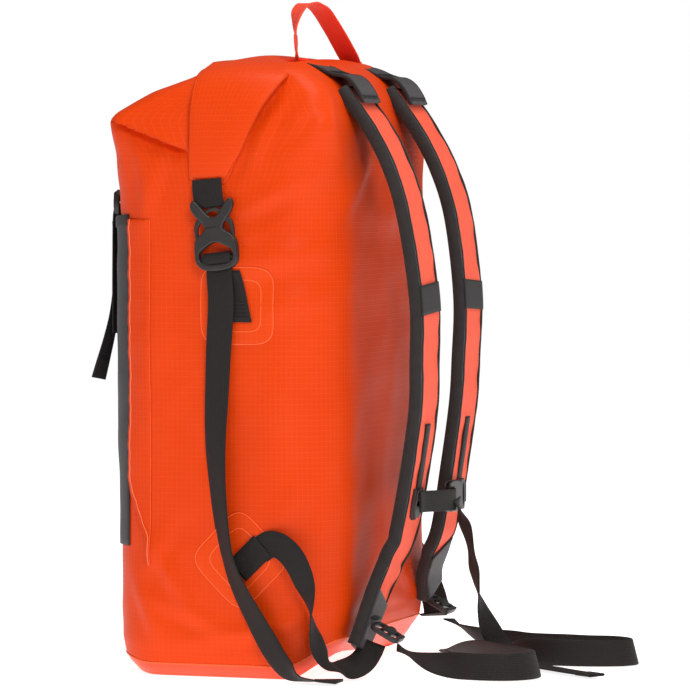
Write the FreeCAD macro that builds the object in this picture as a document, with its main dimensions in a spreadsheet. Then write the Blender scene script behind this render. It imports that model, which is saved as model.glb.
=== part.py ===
"""Roll-top dry backpack, 30 litre class, filled and standing on its base.

Frame: millimetres, +Z up, origin on the floor under the middle of the bag. X runs across the bag (+X is
the near side), +Y points out of the back panel, where the shoulder straps are, and -Y out of the front.
"""

import FreeCAD, Part
import math
import os

import Sketcher

from FreeCAD import Placement, Rotation, Vector

os.makedirs("parts", exist_ok=True)
doc = FreeCAD.newDocument("dry_backpack")

# ---------------------------------------------------------------- driving dimensions
SIZES = {
    "bag_width": 326, "bag_depth": 224, "bag_height": 580, "fabric": 1.2, "corner": 50,
    "shoulder_drop": 75, "crown_drop": 28, "top_drop": 16, "base_height": 30,
    "patch_thick": 0.8, "patch_size": 74, "upper_patch_drop": 235, "lower_patch_rise": 111,
    "patch_offset": 20, "web_width": 25, "web_thick": 1.6, "clearance": 0.4,
    "roll_depth": 58, "roll_front": -25, "stiffener_width": 40, "stiffener_thick": 2,
    "roll_end_thick": 6, "roll_end_top": 90, "roll_end_foot": 36, "roll_end_length": 108,
    "closure_offset": 1, "closure_tilt": 6, "closure_drop": 128, "buckle_thick": 9,
    "buckle_width": 42, "buckle_frame_width": 38, "buckle_wall": 2.2, "buckle_travel": 22,
    "pocket_width": 256, "pocket_drop": 157, "pocket_foot": 120, "pocket_room": 7,
    "pocket_wall": 1.5, "pocket_strap_x": 102, "pocket_strap_width": 20,
    "side_strip_over": 2, "side_strip_foot": 95,
    "handle_span": 162, "handle_rise": 58, "handle_y": 50, "handle_foot": 6,
    "tab_width": 50, "tab_thick": 2.5,
    "strap_width": 62, "pad_thick": 8, "face_thick": 1, "binding_width": 4, "binding_thick": 1.6,
    "band_length": 26, "band_thick": 1, "rail_width": 14, "rail_thick": 1.6, "end_patch_thick": 1.6,
    "slider_width": 22, "slider_length": 28, "slider_room": 1.2, "slider_wall": 2,
    "sternum_height": 161, "rail_below": 21.5, "rail_above": 77.2, "sternum_web": 20,
    "sternum_buckle_width": 30, "sternum_buckle_thick": 7,
    "lock_width": 33, "lock_length": 30, "lock_bar": 4, "lock_thick": 5, "lock_slope": 30,
    "cord_tube": 6,
}
sheet = doc.addObject("Spreadsheet::Sheet", "Dim")
for row, (alias, value) in enumerate(SIZES.items(), 1):
    sheet.set(f"A{row}", alias)
    sheet.set(f"B{row}", str(value))
    sheet.setAlias(f"B{row}", alias)
doc.recompute()


def size(alias):
    """Value of one driving dimension, in millimetres or degrees."""
    return float(getattr(sheet, alias))


def value(expression):
    """Number that an expression over the sheet gives."""
    result = sheet.evalExpression(expression)
    return float(getattr(result, "Value", result))


parts = []


def keep(obj, name):
    """Names a finished sub-part and puts it on the list to be written."""
    obj.Label = name
    parts.append(obj)
    return obj


# ---------------------------------------------------------------- builders
def bind(obj, prop, expression):
    obj.setExpression(prop, expression)


def box(name, x_range, y_range, z_range, final=True):
    """Box between pairs of expressions."""
    item = doc.addObject("Part::Box", name)
    for prop, axis, (low, high) in (("Length", "x", x_range), ("Width", "y", y_range),
                                    ("Height", "z", z_range)):
        bind(item, prop, f"({high}) - ({low})")
        bind(item, f".Placement.Base.{axis}", low)
    if final:
        keep(item, name)
    return item


def cut(name, base, *tools, final=True):
    """Base less its tools."""
    item = doc.addObject("Part::Cut", name)
    item.Base = base
    item.Tool = tools[0] if len(tools) == 1 else fuse(name + "_tools", *tools, final=False)
    if final:
        keep(item, name)
    return item


def fuse(name, *items, final=True):
    """Union of the items."""
    item = doc.addObject("Part::MultiFuse", name)
    item.Shapes = list(items)
    item.Refine = True
    if final:
        keep(item, name)
    return item


def group(name, *items):
    """Separate solids kept in one node."""
    item = doc.addObject("Part::Compound", name)
    item.Links = list(items)
    return keep(item, name)


def origin_plane(body, role):
    return next(f for f in body.Origin.OriginFeatures if f.Role == role)


def new_sketch(body, name, role, height="0"):
    """Sketch on one of the body's own planes, lifted by an expression."""
    sketch = body.newObject("Sketcher::SketchObject", name)
    sketch.AttachmentSupport = [(origin_plane(body, role), "")]
    sketch.MapMode = "FlatFace"
    bind(sketch, ".AttachmentOffset.Base.z", height)
    return sketch


def outline(sketch, points):
    """Closed polygon whose corners are pairs of expressions."""
    spots = [Vector(value(x), value(y), 0) for x, y in points]
    count = len(spots)
    for index in range(count):
        sketch.addGeometry(Part.LineSegment(spots[index], spots[(index + 1) % count]), False)
    for index in range(count):
        sketch.addConstraint(Sketcher.Constraint("Coincident", index, 2, (index + 1) % count, 1))
    for index, (x, y) in enumerate(points):
        for kind, expression, number in (("DistanceX", x, spots[index].x), ("DistanceY", y, spots[index].y)):
            where = sketch.addConstraint(Sketcher.Constraint(kind, -1, 1, index, 1, number))
            sketch.setExpression(f"Constraints[{where}]", expression)


def rounded(sketch, half, front, back, radius):
    """Rounded rectangle: half width each side of X = 0, from front to back in Y, one corner radius."""
    a, y0, y1, r = (value(e) for e in (half, front, back, radius))
    corners = ((a - r, y1 - r, 0), (-a + r, y1 - r, 90), (-a + r, y0 + r, 180), (a - r, y0 + r, 270))
    for x, y, start in corners:
        circle = Part.Circle(Vector(x, y, 0), Vector(0, 0, 1), r)
        sketch.addGeometry(Part.ArcOfCircle(circle, math.radians(start), math.radians(start + 90)), False)
    for index in range(4):
        here, there = sketch.Geometry[index], sketch.Geometry[(index + 1) % 4]
        sketch.addGeometry(Part.LineSegment(here.EndPoint, there.StartPoint), False)
    for index in range(4):
        line = 4 + index
        sketch.addConstraint(Sketcher.Constraint("Tangent", index, 2, line, 1))
        sketch.addConstraint(Sketcher.Constraint("Tangent", line, 2, (index + 1) % 4, 1))
    for index in range(1, 4):
        sketch.addConstraint(Sketcher.Constraint("Equal", 0, index))
    sketch.addConstraint(Sketcher.Constraint("Horizontal", 4))
    sketch.addConstraint(Sketcher.Constraint("Vertical", 5))
    sizes = ((Sketcher.Constraint("Radius", 0, r), radius),
             (Sketcher.Constraint("DistanceX", -1, 1, 7, 1, a), half),
             (Sketcher.Constraint("DistanceX", 5, 1, -1, 1, a), half),
             (Sketcher.Constraint("DistanceY", -1, 1, 4, 1, y1), back),
             (Sketcher.Constraint("DistanceY", -1, 1, 6, 1, y0), front))
    for constraint, expression in sizes:
        where = sketch.addConstraint(constraint)
        sketch.setExpression(f"Constraints[{where}]", expression)


def prism(name, role, points, start, depth, final=True):
    """Body padded from a polygon on an origin plane, from start along the plane's normal."""
    body = doc.addObject("PartDesign::Body", name)
    sketch = new_sketch(body, name + "_sketch", role, start)
    outline(sketch, points)
    pad = body.newObject("PartDesign::Pad", name + "_pad")
    pad.Profile = sketch
    bind(pad, "Length", depth)
    body.Tip = pad
    sketch.Visibility = False
    if final:
        keep(body, name)
    return body


def lofted(name, sections, inner=None):
    """Body lofted through rounded sections (height, half, front, back, radius), hollowed by inner."""
    body = doc.addObject("PartDesign::Body", name)
    for kind, rows in (("AdditiveLoft", sections), ("SubtractiveLoft", inner)):
        if not rows:
            continue
        sketches = []
        for number, (height, half, front, back, radius) in enumerate(rows):
            sketch = new_sketch(body, f"{name}_{kind}_{number}", "XY_Plane", height)
            rounded(sketch, half, front, back, radius)
            sketches.append(sketch)
        loft = body.newObject("PartDesign::" + kind, f"{name}_{kind}")
        loft.Profile = sketches[0]
        loft.Sections = sketches[1:]
        loft.Ruled = True
        body.Tip = loft
    return keep(body, name)


SIDES = (("near", 1), ("far", -1))

# ---------------------------------------------------------------- bag
HALF = "Dim.bag_width / 2"
DEPTH = "Dim.bag_depth / 2"
SHOULDER = "(Dim.bag_height - Dim.shoulder_drop)"
SHELL_TOP = "(Dim.bag_height - Dim.top_drop)"
SIDE_TOP = f"({SHOULDER} - 75)"
BASE_ROWS = [("0", 18, 14, 45, 10), ("10", 6, 4, 24, 4), ("Dim.base_height", 2, 0, 2, 0)]
SHELL_ROWS = [("Dim.base_height", 2, 0, 2, 0), ("Dim.base_height + 60", 0, 0, 0, 0), (SIDE_TOP, 0, 0, 0, 0),
              (SHOULDER, 6, 0, 7, 5), ("Dim.bag_height - Dim.crown_drop", 12, 62, 32, 20),
              (SHELL_TOP, 17, 83, 45, 28)]


def rows_at(rows, inset, lift):
    """Sections of the bag's skin, moved in by inset and each lifted by its own expression."""
    out = []
    for (height, side, front, back, radius), up in zip(rows, lift):
        out.append((f"{height} + {up}", f"{HALF} - {side} - {inset}", f"-({DEPTH} - {front} - {inset})",
                    f"{DEPTH} - {back} - {inset}", f"Dim.corner - {radius} - {inset}"))
    return out


WALL = "Dim.fabric"
lofted("bag_base", rows_at(BASE_ROWS, "0", ["0"] * 3), rows_at(BASE_ROWS, WALL, [WALL, "0", "0"]))
lofted("bag_shell", rows_at(SHELL_ROWS, "0", ["0"] * 6),
       rows_at(SHELL_ROWS, WALL, ["0"] * 5 + [f"(-{WALL})"]))

# ---------------------------------------------------------------- rolled closure
ROLL_HALF = f"({HALF} + Dim.clearance + Dim.roll_end_thick)"
ROLL_BACK = "(Dim.roll_front + Dim.roll_depth)"
roll = prism("closure_roll_outer", "XZ_Plane",
             [(f"-{ROLL_HALF}", SHELL_TOP), (ROLL_HALF, SHELL_TOP), (ROLL_HALF, f"{SHELL_TOP} + 4"),
              (f"{HALF} - 20", "Dim.bag_height - 5"), (f"{HALF} - 90", "Dim.bag_height"),
              (f"-({HALF} - 90)", "Dim.bag_height"), (f"-({HALF} - 20)", "Dim.bag_height - 5"),
              (f"-{ROLL_HALF}", f"{SHELL_TOP} + 4")],
             f"-{ROLL_BACK}", "Dim.roll_depth", final=False)
STRIP_LOW = f"({SHELL_TOP} + 4)"
MID_ROLL = "(Dim.roll_front + Dim.roll_depth / 2)"
STRIP_Y = (f"{MID_ROLL} - Dim.stiffener_width / 2", f"{MID_ROLL} + Dim.stiffener_width / 2")
STRIP_X = (f"-({HALF} - 25)", f"{HALF} - 25")
STRIP_Z = (STRIP_LOW, f"{STRIP_LOW} + Dim.stiffener_thick")
slot = box("stiffener_slot", STRIP_X, STRIP_Y, STRIP_Z, final=False)
cut("closure_roll", roll, slot)
box("roll_stiffener", STRIP_X, STRIP_Y, STRIP_Z)

SKIN = f"({HALF} + Dim.clearance)"
roll_ends = []
for side, sign in SIDES:
    start = SKIN if sign > 0 else f"-({SKIN} + Dim.roll_end_thick)"
    foot = f"({SHELL_TOP} - Dim.roll_end_length)"
    corners = [("Dim.roll_front - 2", SHELL_TOP), ("Dim.roll_front - 2 + Dim.roll_end_top", SHELL_TOP),
               ("Dim.roll_front - 2 + Dim.roll_end_foot", foot), ("Dim.roll_front - 2", foot)]
    roll_ends.append(prism(side + "_roll_fold", "YZ_Plane", corners, start, "Dim.roll_end_thick",
                           final=False))
group("roll_ends", *roll_ends)

# ---------------------------------------------------------------- side patches and sewn anchors
UPPER = "(Dim.bag_height - Dim.upper_patch_drop)"
pairs = {"upper_patches": [], "lower_patches": [], "anchor_webs": [], "strap_anchors": []}
for side, sign in SIDES:
    face = HALF if sign > 0 else f"-({HALF} + Dim.patch_thick)"
    web_face = f"({HALF} + Dim.patch_thick)" if sign > 0 else f"-({HALF} + Dim.patch_thick + Dim.web_thick)"
    y0 = "(Dim.patch_offset - Dim.patch_size / 2)"
    y1 = "(Dim.patch_offset + Dim.patch_size / 2)"
    pairs["upper_patches"].append(
        box(side + "_upper_patch", (face, f"{face} + Dim.patch_thick"), (y0, y1),
            (f"{UPPER} - Dim.patch_size / 2", f"{UPPER} + Dim.patch_size / 2"), final=False))
    reach = "Dim.patch_size * 0.58"
    diamond = [("Dim.patch_offset", f"Dim.lower_patch_rise - {reach}"),
               (f"Dim.patch_offset + {reach}", "Dim.lower_patch_rise"),
               ("Dim.patch_offset", f"Dim.lower_patch_rise + {reach}"),
               (f"Dim.patch_offset - {reach}", "Dim.lower_patch_rise")]
    half_web = "Dim.web_width / 2"
    hanging = [(f"Dim.patch_offset - {half_web} - 8", f"{UPPER} + 34"),
               (f"Dim.patch_offset - {half_web} + 3", f"{UPPER} - 15"),
               (f"Dim.patch_offset + {half_web} + 3", f"{UPPER} - 15"),
               (f"Dim.patch_offset + {half_web} - 8", f"{UPPER} + 34")]
    diagonal = "Dim.web_width * 0.708"
    slanted = [("Dim.patch_offset - 8", "Dim.lower_patch_rise - 1"),
               (f"Dim.patch_offset - 8 + {diagonal}", f"Dim.lower_patch_rise - 1 - {diagonal}"),
               (f"Dim.patch_offset + 16.3 + {diagonal}", f"Dim.lower_patch_rise + 23.3 - {diagonal}"),
               ("Dim.patch_offset + 16.3", "Dim.lower_patch_rise + 23.3")]
    for node, corners, start, depth in (("lower_patches", diamond, face, "Dim.patch_thick"),
                                        ("anchor_webs", hanging, web_face, "Dim.web_thick"),
                                        ("strap_anchors", slanted, web_face, "Dim.web_thick")):
        pairs[node].append(prism(f"{side}_{node}_piece", "YZ_Plane", corners, start, depth, final=False))
for node, items in pairs.items():
    group(node, *items)

# ---------------------------------------------------------------- front pocket
FRONT = f"(-{DEPTH})"
POCKET_FACE = f"({FRONT} - Dim.pocket_room)"
P_HALF = "Dim.pocket_width / 2"
P_TOP = "(Dim.bag_height - Dim.pocket_drop)"
shell = box("pocket_block", (f"-{P_HALF}", P_HALF), (f"{POCKET_FACE} - Dim.pocket_wall", f"{FRONT} - 0.3"),
            ("Dim.pocket_foot", P_TOP), final=False)
room = box("pocket_space", (f"-({P_HALF} - Dim.pocket_wall)", f"{P_HALF} - Dim.pocket_wall"),
           (POCKET_FACE, FRONT), ("Dim.pocket_foot + Dim.pocket_wall", f"{P_TOP} + 1"), final=False)
cut("front_pocket", shell, room)

STRIP_HEIGHT = f"{P_TOP} + Dim.side_strip_over - Dim.side_strip_foot"


def corner_strip(name, sign):
    """Welded strip that wraps the bag's rounded front corner, thin and upright."""
    radius, half, depth = size("corner"), size("bag_width") / 2, size("bag_depth") / 2
    centre = Vector(sign * (half - radius), -(depth - radius), size("side_strip_foot"))
    arcs = []
    for r in (radius, radius + size("patch_thick")):
        spots = []
        for degrees in (8, 36, 64):
            angle = math.radians(-degrees)
            spots.append(centre + Vector(sign * r * math.cos(angle), r * math.sin(angle), 0))
        arcs.append(Part.Arc(*spots))
    ends = [Part.LineSegment(arcs[0].value(arcs[0].FirstParameter), arcs[1].value(arcs[1].FirstParameter)),
            Part.LineSegment(arcs[0].value(arcs[0].LastParameter), arcs[1].value(arcs[1].LastParameter))]
    wire = Part.Wire(Part.__sortEdges__([e.toShape() for e in arcs + ends]))
    item = doc.addObject("Part::Feature", name)
    item.Shape = Part.Face(wire).extrude(Vector(0, 0, value(STRIP_HEIGHT)))
    return item


group("pocket_side_strips", *[corner_strip(side + "_pocket_strip", sign) for side, sign in SIDES])

# Pocket straps: webbing over the pocket's face from a small ladder lock above its mouth.
strap_pieces, lock_pieces = [], []
for side, sign in SIDES:
    middle = "Dim.pocket_strap_x" if sign > 0 else "-Dim.pocket_strap_x"
    low, high = f"{middle} - Dim.pocket_strap_width / 2", f"{middle} + Dim.pocket_strap_width / 2"
    outer = f"({POCKET_FACE} - Dim.pocket_wall - 0.3)"
    strap_pieces.append(box(side + "_pocket_strap_front", (low, high), (f"{outer} - Dim.web_thick", outer),
                            (f"{P_TOP} - 110", f"{P_TOP} - 2"), final=False))
    strap_pieces.append(box(side + "_pocket_strap_back", (low, high),
                            (f"{FRONT} - 0.3 - Dim.web_thick", f"{FRONT} - 0.3"),
                            (f"{P_TOP} + 22", f"{P_TOP} + 48"), final=False))
    frame = box(side + "_pocket_lock_block", (f"{low} - 3", f"{high} + 3"),
                (f"{FRONT} - 0.6 - Dim.web_thick - 8", f"{FRONT} - 0.6 - Dim.web_thick"),
                (f"{P_TOP} + 2", f"{P_TOP} + 28"), final=False)
    holes = [box(f"{side}_pocket_lock_slot_{n}", (low, high),
                 (f"{FRONT} - 30", f"{FRONT}"), (f"{P_TOP} + {z}", f"{P_TOP} + {z} + 5"), final=False)
             for n, z in enumerate((5, 12, 19))]
    lock_pieces.append(cut(side + "_pocket_lock", frame, *holes, final=False))
group("pocket_straps", *strap_pieces)
group("pocket_locks", *lock_pieces)

# ---------------------------------------------------------------- closure buckles
CL_X = f"({HALF} + Dim.clearance + 9.4)"


def closure(side, sign):
    """Side-release buckle that joins a roll end to its anchor, built about its own middle."""
    half_t = "Dim.buckle_thick / 2"
    frame_w, out_w = "Dim.buckle_frame_width / 2", "Dim.buckle_width / 2"
    web = "Dim.web_width / 2"
    turn = Rotation(Vector(1, 0, 0), size("closure_tilt"))
    place = Placement(Vector(sign * value(CL_X), size("closure_offset"),
                             size("bag_height") - size("closure_drop") - 43), turn)
    frame = box(side + "_male_block", ("-2.2", "2.2"), (f"-({frame_w})", frame_w), ("14", "34"), final=False)
    window = box(side + "_male_slot", ("-9", "9"), (f"-({web} + 1)", f"{web} + 1"), ("24", "30"),
                 final=False)
    tongue = box(side + "_male_tongue", ("-1.6", "1.6"), ("-4", "4"), ("-8", "15"), final=False)
    male = fuse(side + "_closure_male", cut(side + "_male_frame", frame, window, final=False), tongue)
    body = box(side + "_female_block", (f"-({half_t})", half_t), (f"-({out_w})", out_w), ("-34", "13"),
               final=False)
    cavity = box(side + "_female_cavity", ("-2.6", "2.6"), (f"-({out_w} - Dim.buckle_wall)",
                 f"{out_w} - Dim.buckle_wall"), ("-10", "14"), final=False)
    windows = box(side + "_female_windows", ("-2.6", "2.6"), (f"-({out_w} + 1)", f"{out_w} + 1"),
                  ("-6", "9"), final=False)
    slots = [box(f"{side}_female_slot_{n}", ("-9", "9"), (f"-({web} + 1)", f"{web} + 1"), (z0, z1),
                 final=False) for n, (z0, z1) in enumerate((("-31", "-26"), ("-21", "-14")))]
    female = cut(side + "_closure_female", body, cavity, windows, *slots)
    wraps = [box(f"{side}_wrap_{n}", (low, high), (f"-({web})", web), ("-33", "-18"), final=False)
             for n, (low, high) in enumerate(((f"{half_t} + 0.4", f"{half_t} + 2"),
                                              (f"-({half_t} + 2)", f"-({half_t} + 0.4)")))]
    wrap = group(side + "_closure_wrap", *wraps)
    arms = []
    for word, way in (("front", -1), ("back", 1)):
        inner, outer = f"{way} * 11", f"{way} * 17"
        pair = (inner, outer) if way > 0 else (outer, inner)
        prong = box(f"{side}_{word}_prong", ("-2", "2"), pair, ("-8", "13.6"), final=False)
        arms.append(group(f"{side}_latch_{word}", prong))
    stub = prism(side + "_roll_web", "YZ_Plane",
                 [(f"-({web}) - 2.5", "46"), (f"{web} - 2.5", "46"), (web, "36"), (web, "20"),
                  (f"-({web})", "20"), (f"-({web})", "36")],
                 "-5.2" if sign > 0 else "3.6", "Dim.web_thick")
    for item in (male, female, wrap, stub, *arms):
        item.Placement = place


for side, sign in SIDES:
    closure(side, sign)

# ---------------------------------------------------------------- paths for ribbons
BACK = size("bag_depth") / 2
STRAP_TOP = size("bag_height") - 35
RAIL_LOW = size("sternum_height") - size("rail_below")
RAIL_HIGH = size("sternum_height") + size("rail_above")
BAND_SHARE = 0.364
# Each station: share of the height, distance of its middle from X = 0, distance from the back panel. The
# share is of the height up to the rail's foot for the lower ones, and from the rail's top to the strap's top
# for the upper ones.
LOWER_STATIONS = {"near": [(0.199, 116, 7), (0.352, 108, 13), (0.566, 92, 20), (0.762, 78, 28)],
                  "far": [(0.445, 112, 7), (0.586, 98, 12), (0.762, 80, 24)]}
UPPER_STATIONS = [(0, 65, 54.5), (0.176, 68, 57.5), (BAND_SHARE, 71, 58), (0.602, 75, 48), (0.751, 74, 34),
                  (0.876, 73, 14), (1, 75, -14)]


def above_rail(share):
    """Height of a station above the rail."""
    return RAIL_HIGH + share * (STRAP_TOP - RAIL_HIGH)


STRAPS = {}
for side, lower in LOWER_STATIONS.items():
    STRAPS[side] = [Vector(x, BACK + out, share * RAIL_LOW) for share, x, out in lower]
    STRAPS[side].append(Vector(67, BACK + 38.5, RAIL_LOW))
    STRAPS[side] += [Vector(x, BACK + out, above_rail(share)) for share, x, out in UPPER_STATIONS]


def between(path, low, high):
    """Stretch of a rising path between two heights."""
    def at(height):
        for here, there in zip(path, path[1:]):
            if here.z <= height <= there.z:
                return here + (there - here) * ((height - here.z) / (there.z - here.z))
        return path[0] if height < path[0].z else path[-1]
    return [at(low)] + [p for p in path if low + 0.01 < p.z < high - 0.01] + [at(high)]


ACROSS_X = Vector(1, 0, 0)
ACROSS_Y = Vector(0, 1, 0)


def ribbon(name, path, left, right, low, high, sign=1, across=ACROSS_X, final=True):
    """Flat strip along a path: from left to right of it across, and from low to high along its normal."""
    wires = []
    for index, spot in enumerate(path):
        runs = [path[index] - path[index - 1]] if index else []
        if index < len(path) - 1:
            runs.append(path[index + 1] - path[index])
        normals = [run.cross(across).normalize() for run in runs]
        normal = (normals[0] + normals[-1]).normalize()
        normal = normal / normal.dot(normals[0])
        ring = []
        for side_step, out in ((left, low), (right, low), (right, high), (left, high)):
            point = spot + across * side_step + normal * out
            ring.append(Vector(sign * point.x, point.y, point.z))
        wires.append(Part.makePolygon(ring + ring[:1]))
    item = doc.addObject("Part::Feature", name)
    item.Shape = Part.makeLoft(wires, True, True)
    if final:
        keep(item, name)
    return item


# ---------------------------------------------------------------- shoulder straps
HALF_STRAP = size("strap_width") / 2
PAD = size("pad_thick") / 2
FACE = PAD + size("face_thick")
EDGE = HALF_STRAP - size("binding_width")
BAND_Z = above_rail(BAND_SHARE)
bands, end_patches = [], []
for side, sign in SIDES:
    path = STRAPS[side]
    ribbon(side + "_strap_pad", path, -HALF_STRAP, HALF_STRAP, -PAD, PAD, sign)
    ribbon(side + "_strap_face", path, -EDGE, EDGE, PAD, FACE, sign)
    edges = [ribbon(f"{side}_binding_{n}", path, a, b, PAD, PAD + size("binding_thick"), sign, final=False)
             for n, (a, b) in enumerate(((-HALF_STRAP, -EDGE), (EDGE, HALF_STRAP)))]
    group(side + "_strap_binding", *edges)
    half_band = size("band_length") / 2
    bands.append(ribbon(side + "_band", between(path, BAND_Z - half_band, BAND_Z + half_band), -EDGE, EDGE,
                        FACE, FACE + size("band_thick"), sign, final=False))
    half_rail = size("rail_width") / 2
    ribbon(side + "_strap_rail", between(path, RAIL_LOW + 4, RAIL_HIGH - 1), -half_rail, half_rail,
           FACE, FACE + size("rail_thick"), sign)
    end_patches.append(ribbon(side + "_end_patch", between(path, path[0].z, path[0].z + 48), -EDGE, EDGE,
                              FACE, FACE + size("end_patch_thick"), sign, final=False))
group("strap_bands", *bands)
group("strap_end_patches", *end_patches)

# ---------------------------------------------------------------- strap tabs and haul handle
TOP = size("bag_height") - size("top_drop")
TAB_X = STRAPS["near"][-1].x
TAB = [Vector(TAB_X, BACK - 55, TOP), Vector(TAB_X, BACK - 43, TOP), Vector(TAB_X, BACK - 23, TOP - 7)]
FLAP = [Vector(TAB_X, BACK - 20, TOP - 8.5), Vector(TAB_X, BACK - 9, TOP - 13),
        Vector(TAB_X, BACK + 5, TOP - 27)]
HALF_TAB = size("tab_width") / 2
LIFT = size("clearance")
group("strap_tabs", *[ribbon(side + "_tab", TAB, -HALF_TAB, HALF_TAB, -LIFT - size("tab_thick"), -LIFT, sign,
                             final=False) for side, sign in SIDES])
group("tab_flaps", *[ribbon(side + "_flap", FLAP, -HALF_TAB, HALF_TAB, -size("tab_thick"), 0, sign,
                            final=False) for side, sign in SIDES])

# The haul handle leans towards the near side. Its two sewn ends stay flat on the bag.
HALF_SPAN, RISE, FOOT = size("handle_span") / 2, size("handle_rise"), size("handle_foot")
HANDLE_SHAPE = [(-1, 0), (-0.74, 0.2), (-0.37, 0.5), (0.12, 0.88), (0.58, 1), (0.93, 0.86), (1.09, 0.45),
                (1, 0)]
HANDLE = [Vector(share * HALF_SPAN, size("handle_y"), TOP + FOOT + 3 + rise * RISE)
          for share, rise in HANDLE_SHAPE]
HALF_WEB = size("web_width") / 2
ribbon("haul_handle", HANDLE, -HALF_WEB, HALF_WEB, 0, size("web_thick"), across=ACROSS_Y)
feet = []
for side, sign in SIDES:
    x = sign * HALF_SPAN
    foot_path = [Vector(x, size("handle_y"), TOP + LIFT), Vector(x, size("handle_y"), TOP + FOOT - 1)]
    feet.append(ribbon(side + "_handle_foot", foot_path, -6, 6, 0, size("web_thick"), across=ACROSS_Y,
                       final=False))
group("handle_ends", *feet)

# ---------------------------------------------------------------- sternum strap
SLIDER_AT = between(STRAPS["near"], size("sternum_height"), RAIL_HIGH)[0]
RUN = between(STRAPS["near"], RAIL_HIGH, STRAP_TOP)[0] - between(STRAPS["near"], RAIL_LOW, RAIL_HIGH)[0]
LEAN = math.degrees(math.atan2(RUN.y, RUN.z))
for side, sign in SIDES:
    half_w, half_l = "Dim.slider_width / 2", "Dim.slider_length / 2"
    low = "(Dim.pad_thick / 2 + Dim.face_thick + Dim.clearance)"
    room = "(Dim.pad_thick / 2 + Dim.face_thick + Dim.rail_thick + Dim.slider_room)"
    inner = "(Dim.rail_width / 2 + Dim.slider_room)"
    block = box(side + "_slider_block", (f"-({half_w})", half_w), (low, f"{room} + Dim.slider_wall"),
                (f"-({half_l})", half_l), final=False)
    channel = box(side + "_slider_channel", (f"-{inner}", inner), ("0", room),
                  (f"-({half_l} + 1)", f"{half_l} + 1"), final=False)
    slider = cut(side + "_sternum_slider", block, channel)
    slider.Placement = Placement(Vector(sign * SLIDER_AT.x, SLIDER_AT.y, SLIDER_AT.z),
                                 Rotation(Vector(1, 0, 0), -LEAN))

SLIDER_FACE = SLIDER_AT.y + FACE + size("rail_thick") + size("slider_room") + size("slider_wall")
SLIDER_TIP = SLIDER_FACE + size("slider_length") / 2 * math.sin(math.radians(LEAN))
CHEST = math.ceil(SLIDER_TIP + size("clearance"))
MID = "Dim.sternum_height"
S_WEB = "Dim.sternum_web / 2"
S_HALF = "Dim.sternum_buckle_width / 2"
web_y = (f"{CHEST}", f"{CHEST} + Dim.web_thick")
web_z = (f"{MID} - {S_WEB}", f"{MID} + {S_WEB}")
box("near_sternum_web", ("-8", f"{SLIDER_AT.x + 9}"), web_y, web_z)
box("far_sternum_web", (f"-{SLIDER_AT.x + 9}", "-44"), web_y, web_z)
by0 = f"({CHEST} + Dim.web_thick + Dim.clearance)"
by1 = f"({by0} + Dim.sternum_buckle_thick)"
mid_y = f"({by0} + Dim.sternum_buckle_thick / 2)"
s_block = box("sternum_male_block", ("-50", "-34.4"), (f"{mid_y} - 2", f"{mid_y} + 2"),
              (f"{MID} - {S_HALF} + 1", f"{MID} + {S_HALF} - 1"), final=False)
s_slot = box("sternum_male_slot", ("-47", "-41"), (f"{by0} - 5", f"{by1} + 5"),
             (f"{MID} - {S_WEB} - 1", f"{MID} + {S_WEB} + 1"), final=False)
s_tongue = box("sternum_male_tongue", ("-35", "-18"), (f"{mid_y} - 1.3", f"{mid_y} + 1.3"),
               (f"{MID} - 3", f"{MID} + 3"), final=False)
fuse("sternum_male", cut("sternum_male_frame", s_block, s_slot, final=False), s_tongue)
f_block = box("sternum_female_block", ("-33.6", "4"), (by0, by1), (f"{MID} - {S_HALF}", f"{MID} + {S_HALF}"),
              final=False)
f_cavity = box("sternum_female_cavity", ("-34", "-13"), (f"{mid_y} - 2.2", f"{mid_y} + 2.2"),
               (f"{MID} - {S_HALF} + 2.2", f"{MID} + {S_HALF} - 2.2"), final=False)
f_windows = box("sternum_female_windows", ("-30", "-17"), (f"{mid_y} - 2.2", f"{mid_y} + 2.2"),
                (f"{MID} - {S_HALF} - 1", f"{MID} + {S_HALF} + 1"), final=False)
f_slots = [box(f"sternum_female_slot_{n}", (x0, x1), (f"{by0} - 5", f"{by1} + 5"),
               (f"{MID} - {S_WEB} - 1", f"{MID} + {S_WEB} + 1"), final=False)
           for n, (x0, x1) in enumerate((("-10", "-6"), ("-3", "1")))]
cut("sternum_female", f_block, f_cavity, f_windows, *f_slots)
for word, way in (("upper", 1), ("lower", -1)):
    spread = (f"{MID} + {S_HALF} - 6.6", f"{MID} + {S_HALF} - 2.6")
    drop = (f"{MID} - {S_HALF} + 2.6", f"{MID} - {S_HALF} + 6.6")
    box("sternum_latch_" + word, ("-34", "-17.5"), (f"{mid_y} - 1.7", f"{mid_y} + 1.7"),
        spread if way > 0 else drop)

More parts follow.
